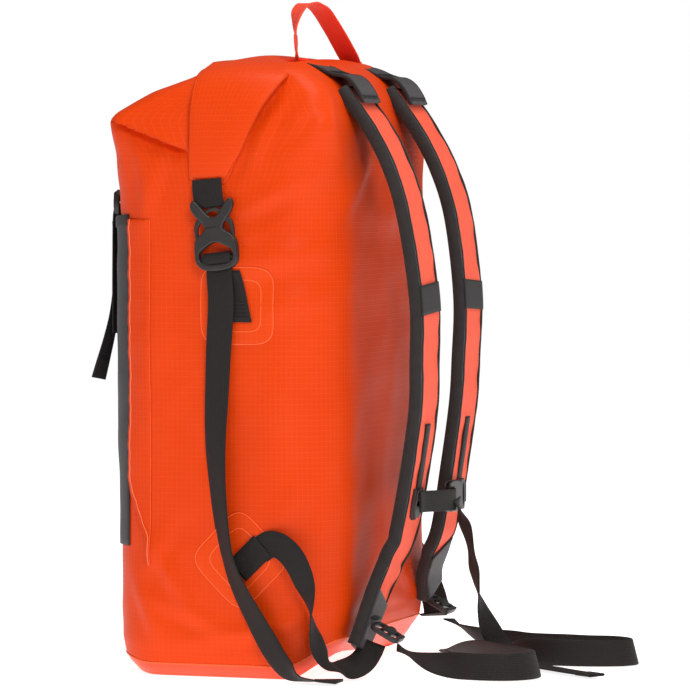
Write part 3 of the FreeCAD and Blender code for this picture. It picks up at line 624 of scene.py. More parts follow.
@dataclass
class BagBody:
    """The filled bag: a soft tube on a flat base, its mouth pressed to the roll."""

    finishes: Finishes
    half: float = 163.0
    columns: int = 60
    corner_columns: int = 18
    base_edge: float = 11.0  # height of the weld to the base
    fold_gain: float = 1.35  # strength of all the panel folds
    flank_bulge: float = 3.6
    panel_bulge: float = 1.5
    unevenness: float = 1.3

    def stations(self) -> Array:
        """Rows of height, side inset, front, back and corner radius."""
        return np.array([
            (0.0, 17, -95, 96, 40), (3, 10, -102, 103, 46), (12, 4, -108, 109, 52), (30, 1, -112, 111, 56),
            (90, 0, -112, 112, 60), (250, 0, -112, 112, 62), (400, 0, -112, 111, 60),
            (450, 0, -112, 110, 54),
            (485, 1, -112, 109, 40), (505, 3, -112.5, 108, 24), (515, 6, -113, 107, 16),
            (522, 9, -107, 105, 16), (532, 12, -90, 102, 20), (541, 14, -72, 97, 20), (548, 17, -50, 90, 20),
            (553, 20, -34, 82, 18), (558, 24, -28, 74, 16), (562, 30, -26, 67, 14), (565, 44, -22, 60, 12)])

    def ring(self, half: float, front: float, back: float, radius: float) -> tuple[Array, Array]:
        """Points and outward directions round one height.

        Args:
            half: Half width.
            front: Lowest Y.
            back: Highest Y.
            radius: Corner radius.

        Returns:
            Points and directions as (x, y).
        """
        points, ways = [], []
        for sx, sy, start in ((1, -1, -90), (1, 1, 0), (-1, 1, 90), (-1, -1, 180)):
            centre = np.array([sx * (half - radius), (back if sy > 0 else front) - sy * radius])
            turn = np.radians(start + np.linspace(0, 90, self.corner_columns))
            way = np.stack([np.cos(turn), np.sin(turn)], axis=1)
            points.append(centre + radius * way)
            ways.append(way)
        out_p, out_w = [], []
        for k in range(4):
            out_p.append(points[k])
            out_w.append(ways[k])
            t = np.linspace(0, 1, self.columns + 2)[1:-1, None]
            out_p.append(points[k][-1] * (1 - t) + points[(k + 1) % 4][0] * t)
            out_w.append(np.repeat(ways[k][-1:], self.columns, axis=0))
        return np.vstack(out_p), np.vstack(out_w)

    def wrinkles(self, a: Array, z: Array, marks: Sequence[tuple[float, ...]]) -> Array:
        """Sum of soft folds on one panel.

        Args:
            a: Place across the panel.
            z: Height.
            marks: Rows of (across, height, degrees, length, width, depth).

        Returns:
            How far the skin stands out.
        """
        out = np.zeros_like(z)
        for a0, z0, degrees, length, width, depth in marks:
            c, s = math.cos(math.radians(degrees)), math.sin(math.radians(degrees))
            along, off = (a - a0) * c + (z - z0) * s, -(a - a0) * s + (z - z0) * c
            ridge = np.exp(-(off / width) ** 2) - 0.5 * np.exp(-((off + width * 1.4) / width) ** 2)
            out += depth * np.exp(-(along / length) ** 2) * ridge
        return out

    def swell(self, x: Array, y: Array, z: Array, way: Array) -> Array:
        """How far the skin stands out of its rounded box."""
        side = np.abs(way[..., 0]) ** 2
        face = np.abs(way[..., 1]) ** 2
        flank = [(62, 392, 8, 62, 15, 3.2), (84, 352, 24, 46, 13, 1.8), (96, 470, 58, 40, 12, 2.6),
                 (52, 446, 28, 30, 9, 2.2), (30, 410, 4, 26, 9, 1.4), (-66, 452, 74, 40, 10, 2.4),
                 (-88, 470, 100, 26, 8, -2.2), (-62, 330, 82, 60, 14, 1.4), (92, 118, 82, 54, 15, 2.8),
                 (70, 160, 60, 40, 12, 1.9), (-46, 92, -58, 34, 9, 3.0), (-70, 60, -64, 30, 8, 2.6),
                 (-62, 118, 62, 30, 9, 2.0), (-30, 60, -22, 36, 8, 1.6), (20, 42, 8, 46, 8, 1.6),
                 (70, 54, 18, 38, 9, 1.8), (-10, 250, 76, 70, 16, 1.3), (60, 250, 84, 60, 18, 1.5),
                 (-90, 190, 86, 56, 12, 1.6), (44, 505, 66, 26, 9, 2.4), (78, 520, 44, 28, 10, 2.2)]
        other = [(-40, 380, 10, 60, 16, 2.6), (60, 460, 50, 36, 12, 2.4), (40, 150, 70, 50, 15, 2.0),
                 (-60, 90, -50, 34, 10, 2.6), (30, 60, 14, 40, 9, 1.8), (70, 300, 80, 60, 16, 1.5)]
        panel = [(0, 430, 4, 90, 18, 1.6), (-70, 470, 30, 44, 12, 1.8), (80, 460, -34, 44, 12, 1.8),
                 (60, 90, -30, 48, 12, 1.6), (-60, 80, 34, 48, 12, 1.6), (10, 60, 4, 70, 12, 1.2)]
        out = side * np.where(x > 0, self.wrinkles(y, z, flank), self.wrinkles(y, z, other))
        out += face * self.wrinkles(x, z, panel)
        out *= self.fold_gain
        plump = np.clip(np.sin(np.pi * np.clip(z / 540, 0, 1)), 0, 1) ** 0.7
        out += side * self.flank_bulge * plump * np.cos(np.pi * np.clip((y - 34) / 220, -0.6, 0.5))
        out += face * self.panel_bulge * plump * np.cos(np.pi * np.clip(x / 340, -0.5, 0.5))
        # The gusset's fold runs from the front shoulder down to the roll's end.
        fold = z - (518 - (y + 113) * 0.37)
        part = side * ease(y, -118, -100) * (1 - ease(y, -40, -24)) * ease(z, 470, 492)
        out += part * np.where(fold > 0, 4.6 * np.exp(-np.maximum(fold, 0) / 30),
                               -7.0 * np.exp(np.minimum(fold, 0) / 13))
        # The skin is drawn in beside the roll's end.
        edge = (y - 9) - (z - 459) * 0.5
        out += side * ease(z, 446, 470) * -3.4 * np.exp(-((edge - 5) / 9) ** 2)
        return out

    def build(self) -> Piece:
        """Build the bag's skin, and put it in place of the two CAD skins."""
        table = self.stations()
        heights = np.concatenate([np.linspace(0, 30, 18), np.linspace(30, 480, 140)[1:],
                                  np.linspace(480, 565, 82)[1:]])
        rows = np.stack([np.interp(heights, table[:, 0], table[:, k]) for k in range(5)], axis=1)
        for k in range(1, 5):
            padded = np.concatenate([[rows[0, k]] * 2, rows[:, k], [rows[-1, k]] * 2])
            rows[:, k] = np.convolve(padded, np.ones(5) / 5, "valid")
        grid, ways = [], []
        for z, inset, front, back, radius in rows:
            p, w = self.ring(self.half - inset, front, back, radius)
            grid.append(np.column_stack([p, np.full(len(p), z)]))
            ways.append(np.column_stack([w, np.zeros(len(w))]))
        grid, ways = np.array(grid), np.array(ways)
        x, y, z = grid[..., 0], grid[..., 1], grid[..., 2]
        out = self.swell(x, y, z, ways) * ease(z, 2, 26) * (1 - 0.7 * ease(z, 540, 562))
        rough = np.array([[noise.noise(Vector(p) * 0.016) + 0.5 * noise.noise(Vector(p) * 0.038)
                           for p in row] for row in grid])
        out += self.unevenness * rough * ease(z, 6, 40)
        grid = grid + ways * out[..., None]
        lift = 27 * ease(y, 62, 112) + 7 * ease(-y, 70, 112)
        grid[..., 2] += lift * (1 - ease(z, 0, 80)) + 9 * (1 - (x / self.half) ** 2) * ease(z, 505, 560)
        uv = lattice(distances(closed(grid[60])), distances(grid[:, 40]))
        piece = sheet("bag_body", grid, uv, self.finishes.ripstop, wrap=True)
        piece.data.materials.append(self.finishes.base)
        # The bottom rows get the base cloth, whose paler colour is painted floor light.
        under = int(np.searchsorted(heights, self.base_edge))
        for face in piece.data.polygons:
            low = min(face.vertices) // grid.shape[1]
            face.material_index = int(low < under and max(face.vertices) // grid.shape[1] <= under)
        seam = closed(grid[under], 2) + closed(ways[under], 2) * 0.5
        weld = sweep("base_weld", seam, (0.0, 0.0, 1.0), flat(1.6, 0.8), self.finishes.weld)
        piece = join("bag_body", [piece, weld])
        return settle(piece, "root", "bag_fabric", "bag_shell", "bag_base")


class Skin:
    """Finds the bag's surface, so that patches and strips lie on it."""

    def __init__(self, bag: Piece) -> None:
        """Read the bag's surface."""
        points = [v.co.copy() for v in bag.data.vertices]
        self.tree = BVHTree.FromPolygons(points, [tuple(p.vertices) for p in bag.data.polygons])

    def hit(self, start: Spot, way: Spot, lift: float) -> Array:
        """Point on the skin, lifted off it.

        Args:
            start: Where the search starts, in millimetres.
            way: Its direction.
            lift: Height above the skin.

        Returns:
            The point in millimetres.
        """
        spot, normal, _, _ = self.tree.ray_cast(Vector(start) * MM, Vector(way))
        if spot is None:
            spot, normal, _, _ = self.tree.find_nearest(Vector(start) * MM)
        if normal.dot(Vector(way)) > 0:
            normal = -normal
        return np.array(spot) / MM + np.array(normal) * lift

    def flank(self, side: Side, y: float, z: float, lift: float) -> Array:
        """Point on a side panel."""
        return self.hit((side.value * 400.0, y, z), (-side.value, 0.0, 0.0), lift)


@dataclass
class RolledMouth:
    """The rolled mouth and its two ends, folded down over the sides."""

    finishes: Finishes

    def build(self) -> None:
        """Build the roll, its strip and its ends."""
        for name, lift, drop, nodes in (
                ("roll_top_outer", 0.0, 5.0, ("closure_roll", "roll_ends", "roll_stiffener")),
                ("roll_top_inner", -1.9, 0.0, ())):
            settle(self.band(name, lift, drop), "root", "bag_fabric", *nodes)

    def band(self, name: str, lift: float, drop: float) -> Piece:
        """One layer of the roll, from the foot of one end over the top to the other foot.

        Args:
            name: Piece name.
            lift: How far it stands out of the middle layer.
            drop: How much shorter its ends are.

        Returns:
            The piece.
        """
        # Along the path: across, height, front edge, back edge and thickness.
        rows = [(168, 456 + drop, -27, 9, 4), (168.6, 463 + drop, -27, 12, 4.5), (169, 485, -27, 23, 5),
                (168, 510, -27, 34, 6), (165, 530, -27, 44, 7), (158, 547, -27, 54, 9),
                (148, 559, -27.5, 61, 11),
                (132, 567, -28, 62, 13), (108, 572, -29, 58, 15), (76, 575, -30, 50, 17),
                (38, 577, -31, 46, 18),
                (0, 578, -31, 45, 18)]
        rows = rows + [(-x, z, a, b, t) for x, z, a, b, t in rows[-2::-1]]
        p = np.array(rows, float)
        line = smooth([(r[0], 0.0, r[1]) for r in p], 4.0)
        source = distances(p[:, :2])
        far = np.linspace(0, source[-1], len(line))
        front, back, thick = (np.interp(far, source, p[:, k]) for k in (2, 3, 4))
        tangent = unit(np.gradient(line, axis=0))
        out = np.cross(tangent, np.array([0, 1.0, 0]))
        out = np.where((out[:, :1] * line[:, :1] + out[:, 2:] * 160) < 0, -out, out)
        t = np.linspace(0, 1, 29)
        crown = np.sin(np.pi * t) ** 0.5
        top = np.zeros((len(line), len(t), 3))
        low = np.zeros_like(top)
        for i, spot in enumerate(line):
            y = front[i] + (back[i] - front[i]) * t
            base = np.column_stack([np.full(len(t), spot[0]), y, np.full(len(t), spot[2])])
            ripple = 0.5 * np.sin(far[i] / 17 + t * 3) * np.sin(np.pi * t)
            raised = (crown - 1) * thick[i] * 0.55 + lift + ripple * (thick[i] > 6)
            top[i] = base + out[i] * raised[:, None]
            low[i] = base - out[i] * (thick[i] * 0.55 * crown + 0.45 * thick[i] - lift)[:, None]
        grid = np.concatenate([top, low[:, ::-1]], axis=1)
        uv = lattice(distances(closed(grid[40])), far)
        return sheet(name, grid, uv, self.finishes.ripstop, wrap=True)


@dataclass
class SidePatches:
    """Welded film patches on both sides, with the webbing sewn to them."""

    finishes: Finishes
    skin: Skin

    def outline(self, half: float, turn: float, count: int = 96) -> Array:
        """Rounded square, as (across, up) round its middle."""
        angle = np.linspace(0, 2 * np.pi, count, endpoint=False)
        c, s = np.cos(angle), np.sin(angle)
        reach = (np.abs(c) ** 5 + np.abs(s) ** 5) ** (-1 / 5)
        ring = half * np.stack([c * reach, s * reach], axis=1)
        a = math.radians(turn)
        return ring @ np.array([[math.cos(a), math.sin(a)], [-math.sin(a), math.cos(a)]])

    def patch(self, side: Side, name: str, y: float, z: float, half: float, turn: float) -> Piece:
        """One film patch with its pressed edges."""
        ring = self.outline(half, turn)
        shares = np.array([0.06, 0.25, 0.45, 0.6, 0.75, 0.9, 0.97, 1.0])
        lifts = np.array([0.9, 0.9, 0.9, 0.9, 0.9, 0.9, 0.7, 0.15])
        grid = np.array([[self.skin.flank(side, y + a * s, z + b * s, e) for a, b in ring]
                         for s, e in zip(shares, lifts)])
        flat_uv = np.array([[(a * s + y, b * s + z) for a, b in closed(ring)] for s in shares])
        film = sheet(name, grid, flat_uv, self.finishes.film, wrap=True, caps=(0,))
        edges = []
        for share, lift in ((0.985, 0.7), (0.66, 0.95)):
            path = np.array([self.skin.flank(side, y + a * share, z + b * share, lift)
                             for a, b in closed(ring, 2)])
            edges.append(sweep(f"{name}_weld_{share}", path, (1.0, 0.0, 0.0), flat(0.5, 0.9),
                               self.finishes.weld))
        return join(name, [film, *edges])

    def strap_stub(self, side: Side, name: str, corners: Sequence[Pair]) -> Piece:
        """Sewn webbing that lies on the skin, between four corners given as (across, up)."""
        low_a, low_b, high_b, high_a = (np.array(c, float) for c in corners)
        rows = []
        for t in np.linspace(0, 1, 14):
            a, b = low_a * (1 - t) + high_a * t, low_b * (1 - t) + high_b * t
            rows.append([self.skin.flank(side, *(a * (1 - s) + b * s), 2.6) for s in np.linspace(0, 1, 7)])
        grid = np.array(rows)
        uv = lattice(np.linspace(0, 25, 7), np.linspace(0, 50, 14))
        base = sheet(name, grid, uv, self.finishes.webbing, thick=1.6)
        stitches = []
        for k in range(5):
            t = 0.08 + 0.07 * k
            a, b = low_a * (1 - t) + high_a * t, low_b * (1 - t) + high_b * t
            path = np.array([self.skin.flank(side, *(a * (1 - s) + b * s),
                                             3.6) for s in np.linspace(0.1, 0.9, 24)])
            path[::2, 0] += 0.25 * side.value
            stitches.append(sweep(f"{name}_tack_{k}", path, (1.0, 0.0, 0.0), flat(0.5, 0.9),
                                  self.finishes.tape))
        return join(name, [base, *stitches])

    def build(self) -> None:
        """Build the patches and webbing of both sides."""
        films = {"upper_patches": [], "lower_patches": []}
        stubs = {"anchor_webs": [], "strap_anchors": []}
        for side in Side:
            films["upper_patches"].append(self.patch(side, f"{side.word}_upper_film", 20, 345, 36, 0))
            films["lower_patches"].append(self.patch(side, f"{side.word}_lower_film", 22, 111, 36, 45))
            stubs["anchor_webs"].append(self.strap_stub(side, f"{side.word}_anchor",
                                                        ((10.5, 330), (35.5, 330), (24, 378), (1, 378))))
            stubs["strap_anchors"].append(self.strap_stub(side, f"{side.word}_sewn",
                                                          ((12, 110), (29, 92), (54, 116), (37, 134))))
        for node, pieces in films.items():
            settle(join(node + "_film", pieces), "root", "patch_film", node)
        for node, pieces in stubs.items():
            settle(join(node + "_sewn", pieces), "root", "black_webbing", node)


@dataclass
class ClosureBuckle:
    """Side-release buckle at one side, from the roll's end to the anchor on the bag."""

    finishes: Finishes
    side: Side
    across: float = 172.8

    @property
    def place(self) -> Matrix:
        """Plate's own axes (back, up, out) in the bag's frame."""
        s = self.side.value
        tilt = Matrix.Rotation(math.radians(6), 4, "X")
        axes = Matrix(((0, 0, s, 0), (1, 0, 0, 0), (0, 1, 0, 0), (0, 0, 0, 1)))
        return Matrix.Translation((s * self.across, 1.0, 409.0)) @ tilt @ axes

    def plate(self, name: str, outline: Sequence[Pair], holes: Sequence, thick: float, out: float,
              edge: float = 0.9) -> Piece:
        """One moulded layer of the buckle, its middle that far out."""
        return moulding(name, outline, holes, thick, edge, self.place @ Matrix.Translation((0, 0, out)),
                        self.finishes.acetal)

    def male(self) -> Piece:
        """The male half: a vee frame with horns, the curved bar between them and the tongue."""
        w = self.side.word
        half = [(20, 33.5), (21.5, 27.5), (18, 20), (10.5, 12.5), (8.5, 7), (9.5, -2)]
        outline = [(-15.5, 34), (0, 12), (15.5, 34)] + half + [(-a, b) for a, b in reversed(half)]
        vee = self.plate(f"{w}_vee", outline, [], 5.4, 0.9, 1.5)
        arch = [(-13, 18), (-8, 24), (0, 26.8), (8, 24), (13, 18), (10.5, 16.8), (6.5, 21), (0, 23.6),
                (-6.5, 21), (-10.5, 16.8)]
        bar = self.plate(f"{w}_bar", arch, [], 3.0, -0.6)
        cross = self.plate(f"{w}_cross", [(-19, 31), (19, 31), (19, 27.5), (-19, 27.5)], [], 2.4, -1.6)
        return join(f"{w}_male_half", [vee, bar, cross])

    def female(self) -> Piece:
        """The female half: a shield with side openings and a peaked window."""
        w = self.side.word
        half = [(8.6, 9), (9.4, 4.5), (15.5, 1.5), (20, -4), (20.8, -17), (20, -25), (14, -30.5), (5, -32)]
        outline = [(-a, b) for a, b in reversed(half)] + half
        window = [(-15.5, -26), (-17, -14), (-9.5, -9.5), (0, -4.5), (9.5, -9.5), (17, -14), (15.5, -26)]
        front = self.plate(f"{w}_shield", outline, [window], 3.4, 2.6, 1.4)
        back = self.plate(f"{w}_back", outline, [window], 3.2, -2.6, 1.2)
        rim = self.plate(f"{w}_rim", [(-18, -3), (18, -3), (19.5, -18), (17.5, -28), (-17.5, -28),
                                      (-19.5, -18)],
                         [[(-15.6, -6), (15.6, -6), (17, -18), (15.6, -26), (-15.6, -26), (-17, -18)]], 3.4,
                         0.0,
                         0.8)
        foot = self.plate(f"{w}_lower_bar", [(-17.5, -17.5), (17.5, -17.5), (17.5, -23.5), (-17.5, -23.5)],
                          [], 3.4,
                          0.2, 1.2)
        return join(f"{w}_female_half", [front, back, rim, foot])

    def prong(self, way: int) -> Piece:
        """One springy prong, curved out to the side opening."""
        outline = [(way * a, b) for a,
                   b in ((9, 17), (14, 18.5), (18.2, 13.5), (19.8, 6), (19, -3), (15.6, -3),
                                             (16.2, 5), (14.6, 10.5), (11.5, 13.5), (9, 12.5))]
        word = "back" if way > 0 else "front"
        return self.plate(f"{self.side.word}_prong_{word}", outline, [], 3.6, 0.4, 1.0)

    def wrap(self) -> Piece:
        """Webbing wound round the lower bar."""
        rows = []
        for b, out in ((-26.4, -1.5), (-26.2, 1.2), (-24.5, 3.0), (-21.5, 3.7), (-18, 3.4), (-16.2, 1.6),
                       (-15.8, -1.5)):
            rows.append([(self.place @ Vector((a, b, out)))[:] for a in np.linspace(-13.5, 13.5, 9)])
        grid = np.array(rows, float)
        uv = lattice(np.linspace(0, 25, 9), np.linspace(0, 24, 7))
        return sheet(f"{self.side.word}_bar_wrap", grid, uv, self.finishes.webbing, thick=1.6)

    def stub(self) -> Piece:
        """Webbing from the roll's end, folded round the male half's top bar."""
        s = self.side.value
        path = smooth([(s * 168.6, -8.8, 461), (s * 169.6, -8, 452), (s * 171.6, -6.4, 444),
                       (s * 172.4, -5, 438.6),
                       (s * 171.2, -4.2, 435.4), (s * 169.4, -4.4, 436.6)], 1.5)
        return sweep(f"{self.side.word}_roll_stub", path, (0.0, 0.995, 0.1), flat(29, 1.8),
                     self.finishes.webbing)

    def build(self) -> None:
        """Build the buckle on its bodies."""
        w = self.side.word
        settle(self.male(), "root", "black_acetal", f"{w}_closure_male")
        settle(self.stub(), "root", "black_webbing", f"{w}_roll_web")
        settle(self.female(), f"{w}_female", "black_acetal", f"{w}_closure_female")
        settle(self.wrap(), f"{w}_female", "black_webbing", f"{w}_closure_wrap")
        settle(self.prong(-1), f"{w}_latch_front", "black_acetal", f"{w}_latch_front")
        settle(self.prong(1), f"{w}_latch_back", "black_acetal", f"{w}_latch_back")


# ---------------------------------------------------------------- front pocket
@dataclass
class FrontPocket:
    """Open stretch pocket on the front, its welded side strips, straps and small ladder locks."""

    finishes: Finishes
    skin: Skin
    foot: float = 120.0
    top: float = 423.0
    flat_half: float = 113.0  # half width of the front before its corners
    flat_share: float = 0.72  # share of the pocket's half width that is on it

    def corner(self, side: Side, turn: float, z: float, lift: float) -> Array:
        """Point on the rounded front corner; a turn of 0 faces the front and 90 the side."""
        a, s = math.radians(turn), side.value
        way = (s * math.sin(a), -math.cos(a))
        start = (s * self.flat_half + 300 * way[0], -62 + 300 * way[1], z)
        return self.skin.hit(start, (-way[0], -way[1], 0.0), lift)

    def panel(self) -> Piece:
        """The pocket's cloth, standing off the bag in the middle and sewn down at the sides and foot."""
        rows = []
        for t in np.linspace(0, 1, 60):
            row = []
            for s in np.linspace(-1, 1, 81):
                z = self.foot + (self.top - 4 * (1 - s * s) - self.foot) * t
                stand = 6.6 * (1 - abs(s) ** 3) * (0.25 + 0.75 * min(1, 3 * t))
                lift = 0.9 + stand * (1 + 0.05 * math.sin(9 * s + 7 * t))
                if abs(s) > self.flat_share:
                    side = Side.NEAR if s > 0 else Side.FAR
                    turn = (abs(s) - self.flat_share) / (1 - self.flat_share) * 50
                    row.append(self.corner(side, turn, z, lift))
                else:
                    row.append(self.skin.hit((s / self.flat_share * self.flat_half, -400, z),
                                             (0.0, 1.0, 0.0), lift))
            rows.append(row)
        grid = np.array(rows)
        uv = lattice(np.linspace(0, 340, 81), np.linspace(0, 303, 60))
        cloth = sheet("pocket_cloth", grid, uv, self.finishes.pack, thick=1.2)
        hem = sweep("pocket_hem", grid[-1], Lay.UPRIGHT.value, flat(11, 2.8), self.finishes.tape)
        return join("pocket_panel", [cloth, hem])

    def strip(self, side: Side) -> Piece:
        """Welded strip over the pocket's side seam, with its stitching and pressed edge."""
        rows, seam, weld = [], [], []
        heights = np.linspace(104, 424, 110)
        for z in heights:
            start = 49 + 33 * float(1 - ease(np.array(z), 112,
                                             190)) + 0.7 * math.sin(z / 6.1) + 0.5 * math.sin(z / 2.3)
            turns = np.linspace(start, 84, 9)
            rows.append([self.corner(side, a, z, 2.0 - 1.2 * k / 8) for k, a in enumerate(turns)])
            seam.append(self.corner(side, min(start + 5.0, 84), z, 2.5))
            weld.append(self.corner(side, 84.5, z, 0.7))
        uv = lattice(np.linspace(0, 32, 9), np.linspace(0, 320, 110))
        cloth = sheet(f"{side.word}_strip_film", np.array(rows), uv, self.finishes.ripstop, thick=0.9)
        across = Lay.ACROSS_Y.value
        stitch = sweep(f"{side.word}_strip_seam", np.array(seam), across, flat(0.9, 0.7),
                       self.finishes.thread)
        edge = sweep(f"{side.word}_strip_weld", np.array(weld), across, flat(0.7, 0.7), self.finishes.weld)
        return join(f"{side.word}_strip", [cloth, stitch, edge])

    def hardware(self, side: Side) -> tuple[list[Piece], Piece]:
        """Straps and ladder lock above the pocket's mouth."""
        x, w = side.value * 102, side.word
        front = smooth([(x, -122.6, 316), (x, -123, 350), (x, -122.8, 390), (x, -122, 428), (x, -118, 438)],
                       4)
        back = smooth([(x, -117, 440), (x, -114.5, 452), (x, -114, 470)], 3)
        webs = [sweep(f"{w}_pocket_{k}", path, Lay.ACROSS_X.value, flat(20, 1.7), self.finishes.webbing)
                for k, path in (("front", front), ("back", back))]
        axes = Matrix(((1, 0, 0, 0), (0, 0, -1, 0), (0, 1, 0, 0), (0, 0, 0, 1)))
        place = Matrix.Translation((x, -118.2, 438)) @ axes
        holes = [[(-10, b), (10, b), (10, b + 4.5), (-10, b + 4.5)] for b in (-9, -1.5, 6)]
        lock = moulding(f"{w}_pocket_lock", [(-13, -13), (13, -13), (13, 13), (-13, 13)], holes, 6, 1.2,
                        place,
                        self.finishes.acetal)
        return webs, lock

    def build(self) -> None:
        """Build the pocket and its fittings."""
        settle(self.panel(), "root", "pocket_fabric", "front_pocket")
        settle(join("pocket_strips", [self.strip(s) for s in Side]), "root", "bag_fabric",
               "pocket_side_strips")
        webs, locks = [], []
        for side in Side:
            found, lock = self.hardware(side)
            webs += found
            locks.append(lock)
        settle(join("pocket_webs", webs), "root", "black_webbing", "pocket_straps")
        settle(join("pocket_lock_pair", locks), "root", "black_acetal", "pocket_locks")


# ---------------------------------------------------------------- shoulder straps
@dataclass
class ShoulderStraps:
    """Both shoulder straps: foam pad, orange face, bound edges, cross bands, rails and end patches."""

    finishes: Finishes
    back: float = 112.0
    rise: float = 545.0

    def path(self, side: Side) -> Array:
        """Middle line of one strap, from its foot to its top."""
        upper = [(0.256, 67, 38.5), (0.437, 65, 54.5), (0.536, 68, 57.5), (0.642, 71, 58), (0.776, 75, 48),
                 (0.86, 74, 34), (0.93, 73, 14), (1.0, 75, -14)]
        lower = {Side.NEAR: [(0.051, 116, 7), (0.09, 108, 13), (0.145, 92, 20), (0.195, 78, 28)],
                 Side.FAR: [(0.114, 112, 7), (0.15, 98, 12), (0.195, 80, 24)]}[side]
        return smooth([(side.value * x, self.back + out, share * self.rise) for share, x,
                       out in lower + upper], 3.0)

    def part(self, side: Side, low: float, high: float) -> Array:
        """Stretch of the middle line between two heights."""
        line = self.path(side)
        return line[(line[:, 2] >= low) & (line[:, 2] <= high)]

    def pad(self, side: Side) -> Piece:
        """Foam pad covered with spacer mesh, crowned between its bound edges."""
        line = self.path(side)
        wide = np.linspace(-31, 31, 17)
        crown = 4.6 * (1 - (np.abs(wide) / 33) ** 4)
        profile = list(zip(wide, crown)) + list(zip(wide[::-1], -0.9 * crown[::-1]))
        ends = np.minimum(1, 0.86 + 0.14 * np.minimum(np.arange(len(line)), np.arange(len(line))[::-1]) / 5)
        return sweep(f"{side.word}_pad", line, Lay.ACROSS_X.value, profile, self.finishes.mesh,
                     ends * self.taper(side))

    def taper(self, side: Side, low: float = -1.0, high: float = 1e4) -> Array:
        """Width scale along the middle line: the strap narrows towards its foot."""
        line = self.part(side, low, high)
        foot = self.path(side)[0, 2]
        return 0.6 + 0.4 * ease(line[:, 2], foot, foot + 125)

    def build(self) -> None:
        """Build both straps."""
        across = Lay.ACROSS_X.value
        bands, patches = [], []
        for side in Side:
            w, line = side.word, self.path(side)
            pad = settle(self.pad(side), "harness", "strap_mesh", f"{w}_strap_pad")
            grow = self.taper(side)
            far = np.arange(len(line)) * 3.0
            pucker = grow * (1 + 0.016 * np.sin(far / 6.3) + 0.02 * np.sin(far / 15.7 + 1)
                             + 0.01 * np.sin(far / 3.1))
            ripple = line + np.outer(0.5 * np.sin(far / 9.7) + 0.35 * np.sin(far / 4.3 + 2), (0, 0.8, 0.2))
            face = sweep(f"{w}_face", ripple[1:-1], across, flat(54, 1.3, 5.1), self.finishes.shell,
                         pucker[1:-1])
            settle(face, "harness", "strap_shell", f"{w}_strap_face")
            tapes = [sweep(f"{w}_tape_{k}", line, across, flat(8, 11.2, 0.5, low), self.finishes.tape, grow)
                     for k, low in (("left", -32), ("right", 24))]
            welts = [sweep(f"{w}_welt_{k}", line, across, flat(2.2, 2.2, 6.1, low), self.finishes.tape,
                           pucker)
                     for k, low in (("left", -27), ("right", 24.8))]
            settle(join(f"{w}_binding", tapes + welts), "harness", "strap_binding", f"{w}_strap_binding")
            rail = sweep(f"{w}_rail", self.part(side, 143, 237), across, flat(14, 1.8, 6.6),
                         self.finishes.webbing)
            settle(rail, "harness", "black_webbing", f"{w}_strap_rail")
            bands.append(sweep(f"{w}_band", self.part(side, 336, 364), across, flat(60, 1.5, 6.6),
                               self.finishes.webbing))
            foot = line[0, 2]
            patches.append(sweep(f"{w}_end", self.part(side, foot, foot + 48), across, flat(60, 1.9, 6.8),
                                 self.finishes.pack, self.taper(side, foot, foot + 48)))
        settle(join("cross_bands", bands), "harness", "black_webbing", "strap_bands")
        settle(join("end_patches", patches), "harness", "reinforcement", "strap_end_patches")


@dataclass
class StrapTabs:
    """Stitched cloth tabs that hold the straps' tops to the bag."""

    finishes: Finishes
    across: float = 75.0

    def tab(self, side: Side) -> Piece:
        """One tab with piped edges and its rows of stitches."""
        x, w = side.value * self.across, side.word
        line = smooth([(x, 57, 567), (x, 66, 567), (x, 76, 564), (x, 85, 560), (x, 93, 557.6),
                       (x, 101, 556.4),
                       (x, 109, 551), (x, 116, 541), (x, 120, 532)], 2.0)
        across = Lay.ACROSS_X.value
        made = [sweep(f"{w}_tab_cloth", line, across, flat(50, 2.4), self.finishes.pack)]
        for k, low in enumerate((-25.6, 23.0)):
            made.append(sweep(f"{w}_tab_edge_{k}", line, across, flat(2.6, 3.4, 0, low), self.finishes.tape))
        for k, at in enumerate((0.05, 0.09, 0.42, 0.46, 0.93, 0.965)):
            spot = line[int(at * (len(line) - 1))]
            turn = unit(np.gradient(line, axis=0))[int(at * (len(line) - 1))]
            out = np.cross(turn, np.array(across))
            out = out if out[2] > 0 else -out
            row = np.array([spot + out * (1.5 + 0.35 * (n % 2)) + np.array([(n / 30 - 0.5) * 44, 0, 0])
                            for n in range(31)])
            made.append(sweep(f"{w}_tack_{k}", row, Lay.ACROSS_Y.value, flat(0.8, 0.8),
                              self.finishes.webbing))
        return join(f"{w}_strap_tab", made)

    def build(self) -> None:
        """Build the tabs, each baked in place in the bag's frame."""
        for side, nodes in ((Side.NEAR, ("strap_tabs", "tab_flaps")), (Side.FAR, ())):
            piece = self.tab(side)
            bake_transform(piece)
            if nodes:
                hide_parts(*nodes)
            LOG.info("%s bends with the harness", piece.name)


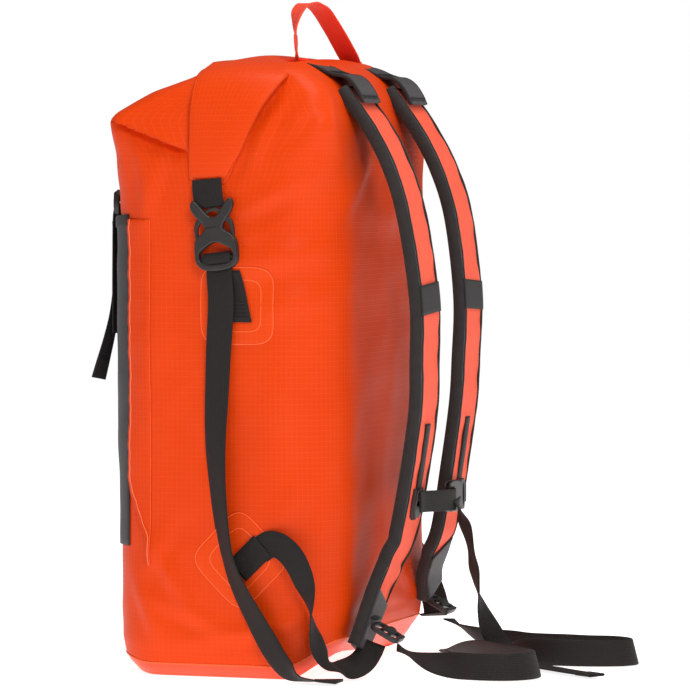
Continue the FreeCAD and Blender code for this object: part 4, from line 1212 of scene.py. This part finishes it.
@dataclass
class HaulHandle:
    """Loop of flat webbing over the roll, leaning to the near side."""

    finishes: Finishes
    half: float = 81.0
    depth: float = 50.0
    foot: float = 572.6
    rise: float = 53.0

    def build(self) -> None:
        """Build the loop and its sewn ends."""
        shape = [(-1, 0), (-0.9, 0.1), (-0.74, 0.24), (-0.37, 0.54), (0.12, 0.88), (0.45, 0.98), (0.7, 0.97),
                 (0.93, 0.82), (1.07, 0.45), (1.0, 0)]
        line = smooth([(a * self.half, self.depth, self.foot + b * self.rise) for a, b in shape], 2.5)
        far = np.linspace(0, 1, len(line))
        pinch = 1 - 0.25 * np.exp(-((far - 1) / 0.05) ** 2) - 0.15 * np.exp(-(far / 0.06) ** 2)
        # Share of the way from the far foot to the near one, then how the flat lies there.
        turns = np.array([(0, 0.15, 1), (0.1, 0.4, 0.9), (0.5, 0.5, 0.86), (0.66, 0.62, 0.78),
                          (0.8, 0.82, 0.57),
                          (0.9, 0.97, 0.24), (0.95, 0.97, 0.24), (1, 0.88, 0.47)])
        sway = np.stack([np.interp(far, turns[:, 0], turns[:, 1]), np.interp(far, turns[:, 0], turns[:, 2]),
                         np.zeros_like(far)], axis=1)
        loop = sweep("haul_loop", line, sway, flat(25, 1.8), self.finishes.loop, pinch)
        settle(loop, "haul_handle", "orange_webbing", "haul_handle")
        ends = []
        for side in Side:
            x, y = side.value * self.half, self.depth
            foot = smooth([(x - side.value * 13, y, 568.5), (x - side.value * 4, y, 568), (x, y, 570.5),
                           (x, y, 573.2)], 1.5)
            ends.append(sweep(f"{side.word}_foot", foot, Lay.ACROSS_Y.value, flat(22, 1.8),
                              self.finishes.loop))
        settle(join("haul_ends", ends), "root", "orange_webbing", "handle_ends")


# ---------------------------------------------------------------- sternum strap and ladder locks
@dataclass
class SternumStrap:
    """Chest strap between the shoulder straps, with its sliders and small buckle."""

    finishes: Finishes
    height: float = 161.0
    depth: float = 167.0

    def plate(self, name: str, outline: Sequence[Pair], holes: Sequence, thick: float, y: float,
              edge: float = 0.8) -> Piece:
        """Moulded layer in the upright plane across the bag."""
        axes = Matrix(((1, 0, 0, 0), (0, 0, 1, y), (0, 1, 0, self.height), (0, 0, 0, 1)))
        return moulding(name, outline, holes, thick, edge, axes, self.finishes.acetal)

    def slider(self, side: Side) -> Piece:
        """Clip that runs on a strap's rail."""
        x = side.value * 66.6
        axes = Matrix(((1, 0, 0, 0), (0, 0, 1, 0), (0, 1, 0, 0), (0, 0, 0, 1)))
        lean = Matrix.Rotation(math.radians(-9.2), 4, "X")
        place = Matrix.Translation((x, 154, self.height)) @ lean @ axes
        body = moulding(f"{side.word}_clip", [(-12, -14), (12, -14), (12, 14), (-12, 14)],
                        [[(-8, -2.4), (8, -2.4), (8, 2.4), (-8, 2.4)]], 2.6, 0.9,
                        place @ Matrix.Translation((0, 0, 9.8)), self.finishes.acetal)
        lips = [moulding(f"{side.word}_lip_{k}", [(a - 2, -14), (a + 2, -14), (a + 2, 14), (a - 2, 14)], [],
                         5.4, 0.8,
                         place @ Matrix.Translation((0, 0, 6.6)), self.finishes.acetal)
                for k, a in enumerate((-10.3, 10.3))]
        return join(f"{side.word}_slider_clip", [body, *lips])

    def build(self) -> None:
        """Build the strap on its bodies."""
        z, d = self.height, self.depth
        near = smooth([(74, d + 0.6, z), (62, d + 2.4, z), (44, d + 8, z - 0.6), (24, d + 13, z - 1.2),
                       (9, d + 15, z - 1.6), (2.5, d + 12.5, z - 1), (0.5, d + 8, z), (-3, d + 3, z)], 2)
        far = smooth([(-74, d + 0.6, z), (-60, d + 1.0, z), (-45, d + 0.9, z)], 2)
        for side, line in ((Side.NEAR, near), (Side.FAR, far)):
            web = sweep(f"{side.word}_chest_web", line, Lay.UPRIGHT.value, flat(20, 1.7),
                        self.finishes.webbing)
            settle(web, "sternum", "black_webbing", f"{side.word}_sternum_web")
            settle(self.slider(side), "sternum", "black_acetal", f"{side.word}_sternum_slider")
        y = d + 5.5
        frame_out = [(-50, -14), (-50, 14), (-44, 15), (-37, 14), (-34.6, 9), (-34.6, -9), (-37, -14),
                     (-44, -15)]
        male = [self.plate("chest_frame", frame_out,
                           [[(-47, -10.6), (-41.5, -10.6), (-41.5, 10.6), (-47, 10.6)]], 4.2, y),
                self.plate("chest_tongue", [(-36, -3), (-19, -2.4), (-19, 2.4), (-36, 3)], [], 2.6, y)]
        settle(join("chest_male", male), "sternum", "black_acetal", "sternum_male")
        shell = [(-33, -9), (-28, -14.5), (-6, -15), (2, -13.5), (4, -9), (4, 9), (2, 13.5), (-6, 15),
                 (-28, 14.5),
                 (-33, 9)]
        holes = [[(-10, -10.4), (-6, -10.4), (-6, 10.4), (-10, 10.4)],
                 [(-3, -10.4), (1, -10.4), (1, 10.4), (-3, 10.4)]]
        female = [self.plate("chest_front", shell, holes, 2.2, y + 2.4),
                  self.plate("chest_rear", shell, holes, 2.2, y - 2.4)]
        settle(join("chest_female", female), "sternum_female", "black_acetal", "sternum_female")
        for word, way in (("upper", 1), ("lower", -1)):
            prong = self.plate(f"chest_prong_{word}",
                               [(-34, way * 8.4), (-34, way * 12.4), (-26, way * 14.4),
                                                       (-18, way * 12.4), (-18, way * 9.4),
                                                       (-26, way * 10.4)], [], 3.2, y)
            settle(prong, f"sternum_latch_{word}", "black_acetal", f"sternum_latch_{word}")


@dataclass
class LadderLocks:
    """Ladder locks at the straps' feet, with the sewn loops that hold them."""

    finishes: Finishes

    def lock(self, side: Side, spot: Spot) -> Piece:
        """One ladder lock, its outer end hanging low."""
        place = Matrix.Translation(spot) @ Matrix.Rotation(math.radians(-30), 4, "X")
        holes = [[(-12.5, a), (12.5, a), (12.5, b), (-12.5, b)] for a, b in ((4, 9), (13, 18), (21, 26))]
        plate = moulding(f"{side.word}_lock_plate",
                         [(-15, 0), (15, 0), (16.5, 12), (16.5, 27), (13, 30), (-13, 30),
                                                     (-16.5, 27), (-16.5, 12)], holes, 4.4, 1.1, place,
                         self.finishes.acetal)
        lip = moulding(f"{side.word}_lock_lip", [(-14, 26), (14, 26), (12.5, 30.5), (-12.5, 30.5)], [], 3.0,
                       0.9,
                       place @ Matrix.Translation((0, 0, 1.8)), self.finishes.acetal)
        turn = [place @ Vector((0, a, c)) for a, c in ((10.5, -3.2), (12, 2.8), (18.5, 3.6), (20.5, -2.6))]
        web = sweep(f"{side.word}_lock_web", smooth([tuple(t) for t in turn], 1.5), Lay.ACROSS_X.value,
                    flat(24, 1.6),
                    self.finishes.webbing)
        return join(f"{side.word}_lock", [plate, lip, web])

    def build(self) -> None:
        """Build the locks and loops."""
        spots = {Side.NEAR: (114.0, 135.0, 50.5), Side.FAR: (-112.0, 117.5, 55.5)}
        loops = []
        for side, (x, y, z) in spots.items():
            settle(self.lock(side, (x, y, z)), f"{side.word}_lock", "black_acetal",
                   f"{side.word}_ladder_lock")
            reach = 1.0 if side is Side.NEAR else -1.6
            line = smooth([(x, y + reach - 2.0, z + 7.2), (x, y + reach + 1.2, z + 5.9),
                           (x, y + reach + 4.2, z + 4.6)], 1.2)
            loops.append(sweep(f"{side.word}_loop", line, Lay.ACROSS_X.value, flat(16, 1.6),
                               self.finishes.webbing))
        settle(join("lock_loop_pair", loops), "harness", "black_webbing", "lock_loops")


# ---------------------------------------------------------------- free webbing
@dataclass(frozen=True)
class Tail:
    """One free length of flat webbing: its route in metres, how its flat turns, and what it rides on."""

    name: str
    node: str
    width: float
    length: float
    far_end: str
    lay: str
    route: tuple[Spot, ...]
    flats: tuple[tuple[float, float, float, float], ...]
    bodies: tuple[str, ...]
    span: tuple[Spot, Spot] | None = None
    folded: bool = True

    def across(self, line: Array, half: float) -> Array:
        """Direction of the flat at each point, turned where an edge would meet the floor."""
        far = distances(line)
        far /= far[-1]
        rows = np.array(self.flats)
        want = np.stack([np.interp(far, rows[:, 0], rows[:, k]) for k in (1, 2, 3)], axis=1)
        tangent = unit(np.gradient(line, axis=0))
        wide = unit(want - (want * tangent).sum(1, keepdims=True) * tangent)
        level = unit(np.cross(tangent, np.array([0, 0, 1.0])))
        steep = np.cross(level, tangent)
        steep *= np.sign(steep[:, 2:] + 1e-9)
        a, b = (wide * level).sum(1), (wide * steep).sum(1)
        most = np.clip((line[:, 2] - FLOOR_GAP) / (half * np.maximum(steep[:, 2], 1e-3)), 0, 1)
        held = np.clip(b, -most, most)
        rest = np.sqrt(np.maximum(1 - held**2, 0))
        out = level * (rest * np.where(a < 0, -1, 1))[:, None] + steep * held[:, None]
        for i in range(1, len(out)):
            # An edge that is held off the floor leans the same way as the stretch before it.
            both = [level[i] * rest[i] * sign + steep[i] * turn * held[i]
                    for sign in (-1, 1) for turn in (-1, 1)]
            out[i] = max(both, key=lambda way: float(way @ out[i - 1]))
        soft = np.ones(5) / 5
        for k in range(3):
            out[2:-2, k] = np.convolve(out[:, k], soft, "valid")
        return unit(out - (out * tangent).sum(1, keepdims=True) * tangent)

    def build(self, finishes: Finishes) -> None:
        line = nurbs(self.route)
        even = spaced(line, 0.0025)
        wide = self.across(even, self.width / 2)
        pieces = [sweep(self.name + "_web", even / MM, wide, flat(self.width / MM, WEB_THICK),
                        finishes.webbing)]
        if self.folded:
            pieces.append(sweep(self.name + "_tip", even[-9:] / MM, wide[-9:],
                                flat(self.width / MM - 0.4, 2.8),
                                finishes.webbing))
        piece = join(self.name, pieces)
        if len(self.bodies) == 2:
            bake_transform(piece)
        else:
            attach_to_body(piece, self.bodies[0])
        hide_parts(self.node)
        LOG.info("%s: line %.3f m, lowest %.4f m", self.name, float(distances(line)[-1]),
                 min(v.co.z for v in piece.data.vertices))


def metres(*points: Spot) -> tuple[Spot, ...]:
    """Route given in millimetres, as metres."""
    return tuple((x * MM, y * MM, z * MM) for x, y, z in points)


TAILS = (
    Tail("closure_tail", "near_closure_tail", 0.025, 0.428, "bare", "hanging", metres(
        (171.4, 4, 384), (172.6, 5, 370), (172.8, 7, 348), (172.5, 4, 305), (172.6, 2.2, 260),
        (172.5, 0.5, 220),
        (172.6, 2.5, 183), (172.5, 6, 147), (172.6, 12, 111), (173, 24, 84), (173.2, 38, 60),
        (173.5, 52, 36), (173.7, 66, 15),
        (174, 82, 4), (174, 101, 3.2), (174, 121, 3.2)),
        ((0, 0, 1, 0), (0.14, 0, 1, 0), (0.3, 0.22, 0.97, 0), (0.45, 0.55, 0.83, 0), (0.62, 0.72, 0.7, 0),
         (0.72, 0.55, 0.8, 0.2), (0.82, 0.35, 0.85, 0.4), (0.9, 0.5, 0.7, 0.4), (0.95, 0.9, 0.3, 0.1),
         (1, 1, 0, 0)),
        ("root", "near_female"), ((0, 0, 0.20), (0, 0, 0.365))),
    Tail("near_adjuster_web", "near_adjuster", 0.025, 0.202, "object", "loose", metres(
        (167.2, 42, 120), (168.6, 49, 125.5), (171.5, 57, 127.5), (174.5, 68, 124), (177, 79, 114),
        (178, 87, 99),
        (176, 92, 80), (172, 93, 60), (168, 95, 42), (161, 99, 26), (151, 106, 14), (140, 115, 9.5),
        (129, 125, 13),
        (121, 132, 22), (117, 136, 34)),
        ((0, 0, 0.7, -0.7), (0.1, 0.05, 0.35, -0.95), (0.2, -0.05, -0.3, -0.9), (0.32, -0.35, -0.8, -0.4),
         (0.47, -0.95, -0.3, 0), (0.6, -0.88, 0.25, -0.2), (0.75, -0.8, 0.3, -0.4), (0.88, -0.9, 0.1, -0.3),
         (1, -1, 0, 0)), ("root", "harness"), ((0.165, 0.085, 0.1), (0.12, 0.135, 0.03)), False),
    Tail("near_strap_tail", "near_tail", 0.025, 0.359, "bare", "loose", metres(
        (112, 157, 29.5), (107, 169, 21.5), (102, 186, 15.5), (102, 207, 13.2), (106, 229, 13),
        (106, 250, 13),
        (98, 268, 13), (80, 279, 13), (58, 278, 13), (40, 265, 13), (24, 246, 13.2), (8, 226, 13),
        (-10, 207, 13.2),
        (-30, 190, 12), (-52, 174, 8.5), (-74, 160, 4.5), (-92, 148, 3.2)),
        ((0, 1, 0, 0), (0.08, 0.8, 0, 0.5), (0.2, 0, 0, 1), (0.85, 0, 0, 1), (1, 0.6, -0.6, 0.2)),
        ("root", "harness"), ((0.104, 0.215, 0.01), (0.112, 0.157, 0.03))),
    Tail("far_strap_tail", "far_tail", 0.025, 0.391, "bare", "loose", metres(
        (-111, 140, 33.5), (-108, 153, 26), (-104, 171, 19.5), (-99, 192, 15), (-94, 215, 13.2),
        (-90, 239, 13),
        (-88, 264, 13.2), (-87, 289, 13), (-88, 312, 13.2), (-82, 331, 13), (-65, 340, 13), (-48, 332, 13),
        (-39, 314, 13), (-34, 292, 13), (-32, 268, 13.2), (-36, 245, 13), (-46, 224, 12), (-60, 206, 7.5),
        (-76, 192, 3.6)),
        ((0, 1, 0, 0), (0.08, 0.7, 0, 0.6), (0.2, 0, 0, 1), (0.88, 0, 0, 1), (1, 0.7, -0.6, 0.2)),
        ("root", "harness"), ((-0.098, 0.20, 0.012), (-0.111, 0.14, 0.034))),
    Tail("far_adjuster_web", "far_adjuster", 0.025, 0.153, "object", "loose", metres(
        (-169.4, 47, 127), (-174, 59, 122), (-177, 72, 110), (-176, 84, 94), (-173, 94, 76), (-167, 104, 60),
        (-158, 112, 46), (-146, 117, 36), (-133, 118.5, 33), (-121, 120, 38)),
        ((0, -0.1, 0.7, -0.7), (0.4, -0.5, 0.8, 0.2), (1, 0.3, 1, 0)),
        ("root", "harness"), ((-0.172, 0.09, 0.09), (-0.124, 0.12, 0.036)), False),
    Tail("chest_tail", "sternum_tail", 0.020, 0.282, "bare", "hanging", metres(
        (6, 183, 160), (4.5, 185, 151), (0, 188, 139), (-5, 191.5, 122), (-9, 194, 103), (-14, 195.5, 82),
        (-20, 198.5, 58), (-26, 205, 36),
        (-30, 216, 17), (-26, 232, 6), (-14, 249, 3.4), (3, 267, 3.2), (21, 287, 3.4), (38, 309, 3.2),
        (53, 332, 3.2)),
        ((0, 1, -0.1, 0), (0.08, 0.6, 0.8, 0), (0.2, -0.1, 1, 0), (0.45, -0.35, 0.9, 0.2),
         (0.6, -0.8, 0.5, 0.2), (0.72, -1, 0.5, 0),
         (1, -0.8, 0.6, 0)), ("sternum", "sternum_female"), ((0, 0.2, 0.06), (0, 0.173, 0.14))),
    Tail("pocket_strap_tail", "pocket_tail", 0.020, 0.150, "bare", "hanging", metres(
        (97, -124.8, 422), (95, -124.6, 402), (94, -124.5, 379), (94.5, -125, 356), (96.5, -127.5, 333),
        (99, -131.5, 311), (101, -136.5, 291), (102.4, -141, 273)),
        ((0, 1, 0, 0), (0.6, 1, -0.05, 0), (1, 1, -0.4, 0)), ("root",)),
)


# Name, place in metres, width in metres and power in watts.
LIGHTS = (("key", (1.9, 1.2, 1.7), 0.7, 24), ("fill", (2.2, -2.2, 1.0), 1.6, 5),
          ("top", (0.3, 0.3, 2.3), 1.2, 26), ("rim", (-1.8, 2.2, 1.6), 1.2, 9))


@dataclass
class Studio:
    """Pale floor, soft lights and the camera."""

    ambient: float = 0.17
    floor_glow: float = 0.84
    floor_half: float = 9000.0
    eye: Spot = (4.0573, 1.3884, 0.476)
    turn: float = 18.0  # degrees that the camera looks round from the near side
    dip: float = 2.32  # degrees that it looks down
    lens: float = 234.42
    sensor: float = 36.0

    def build(self) -> None:
        """Build the studio."""
        world = bpy.data.worlds.new("studio")
        bpy.context.scene.world = world
        world.use_nodes = True
        tree = world.node_tree
        background = tree.nodes["Background"]
        background.inputs[0].default_value = (1.0, 1.0, 1.0, 1.0)
        seen = add(tree, "LightPath")
        strength = add(tree, "MapRange", Value=seen.outputs["Is Camera Ray"], To_Min=self.ambient,
                       To_Max=1.0)
        tree.links.new(strength.outputs[0], background.inputs[1])
        material, shader = blank("pale_floor", 0.9, 0.1)
        shader.inputs["Base Color"].default_value = (0.95, 0.95, 0.95, 1.0)
        shader.inputs["Emission Color"].default_value = (1.0, 1.0, 1.0, 1.0)
        shader.inputs["Emission Strength"].default_value = self.floor_glow
        r = self.floor_half
        corners = np.array([(-r, -r, 0), (r, -r, 0), (r, r, 0), (-r, r, 0)])
        floor = mesh_piece("floor", corners, [(0, 1, 2, 3)], material)
        floor.location.z = -0.0005
        for name, spot, size, power in LIGHTS:
            data = bpy.data.lights.new(name, "AREA")
            data.size, data.energy = size, power
            lamp = placed(name, data)
            lamp.location = spot
            lamp.rotation_euler = (Vector((0, 0, 0.3)) - Vector(spot)).to_track_quat("-Z", "Y").to_euler()
        data = bpy.data.cameras.new("camera")
        data.sensor_width, data.lens, data.clip_end = self.sensor, self.lens, 60.0
        camera = placed("camera", data)
        turn, dip = math.radians(self.turn), math.radians(self.dip)
        ahead = Vector((-math.cos(turn) * math.cos(dip), -math.sin(turn) * math.cos(dip), -math.sin(dip)))
        camera.location = self.eye
        camera.rotation_euler = ahead.to_track_quat("-Z", "Y").to_euler()
        bpy.context.scene.camera = camera
        bpy.context.scene.view_settings.view_transform = "Standard"


def main() -> None:
    """Build every sub-assembly in order."""
    logging.basicConfig(level=logging.INFO, format="%(message)s")
    finishes = Finishes()
    bag = BagBody(finishes).build()
    skin = Skin(bag)
    RolledMouth(finishes).build()
    SidePatches(finishes, skin).build()
    for side in Side:
        ClosureBuckle(finishes, side).build()
    FrontPocket(finishes, skin).build()
    ShoulderStraps(finishes).build()
    StrapTabs(finishes).build()
    HaulHandle(finishes).build()
    SternumStrap(finishes).build()
    LadderLocks(finishes).build()
    for tail in TAILS:
        tail.build(finishes)
    Studio().build()


if __name__ == "__main__":
    main()
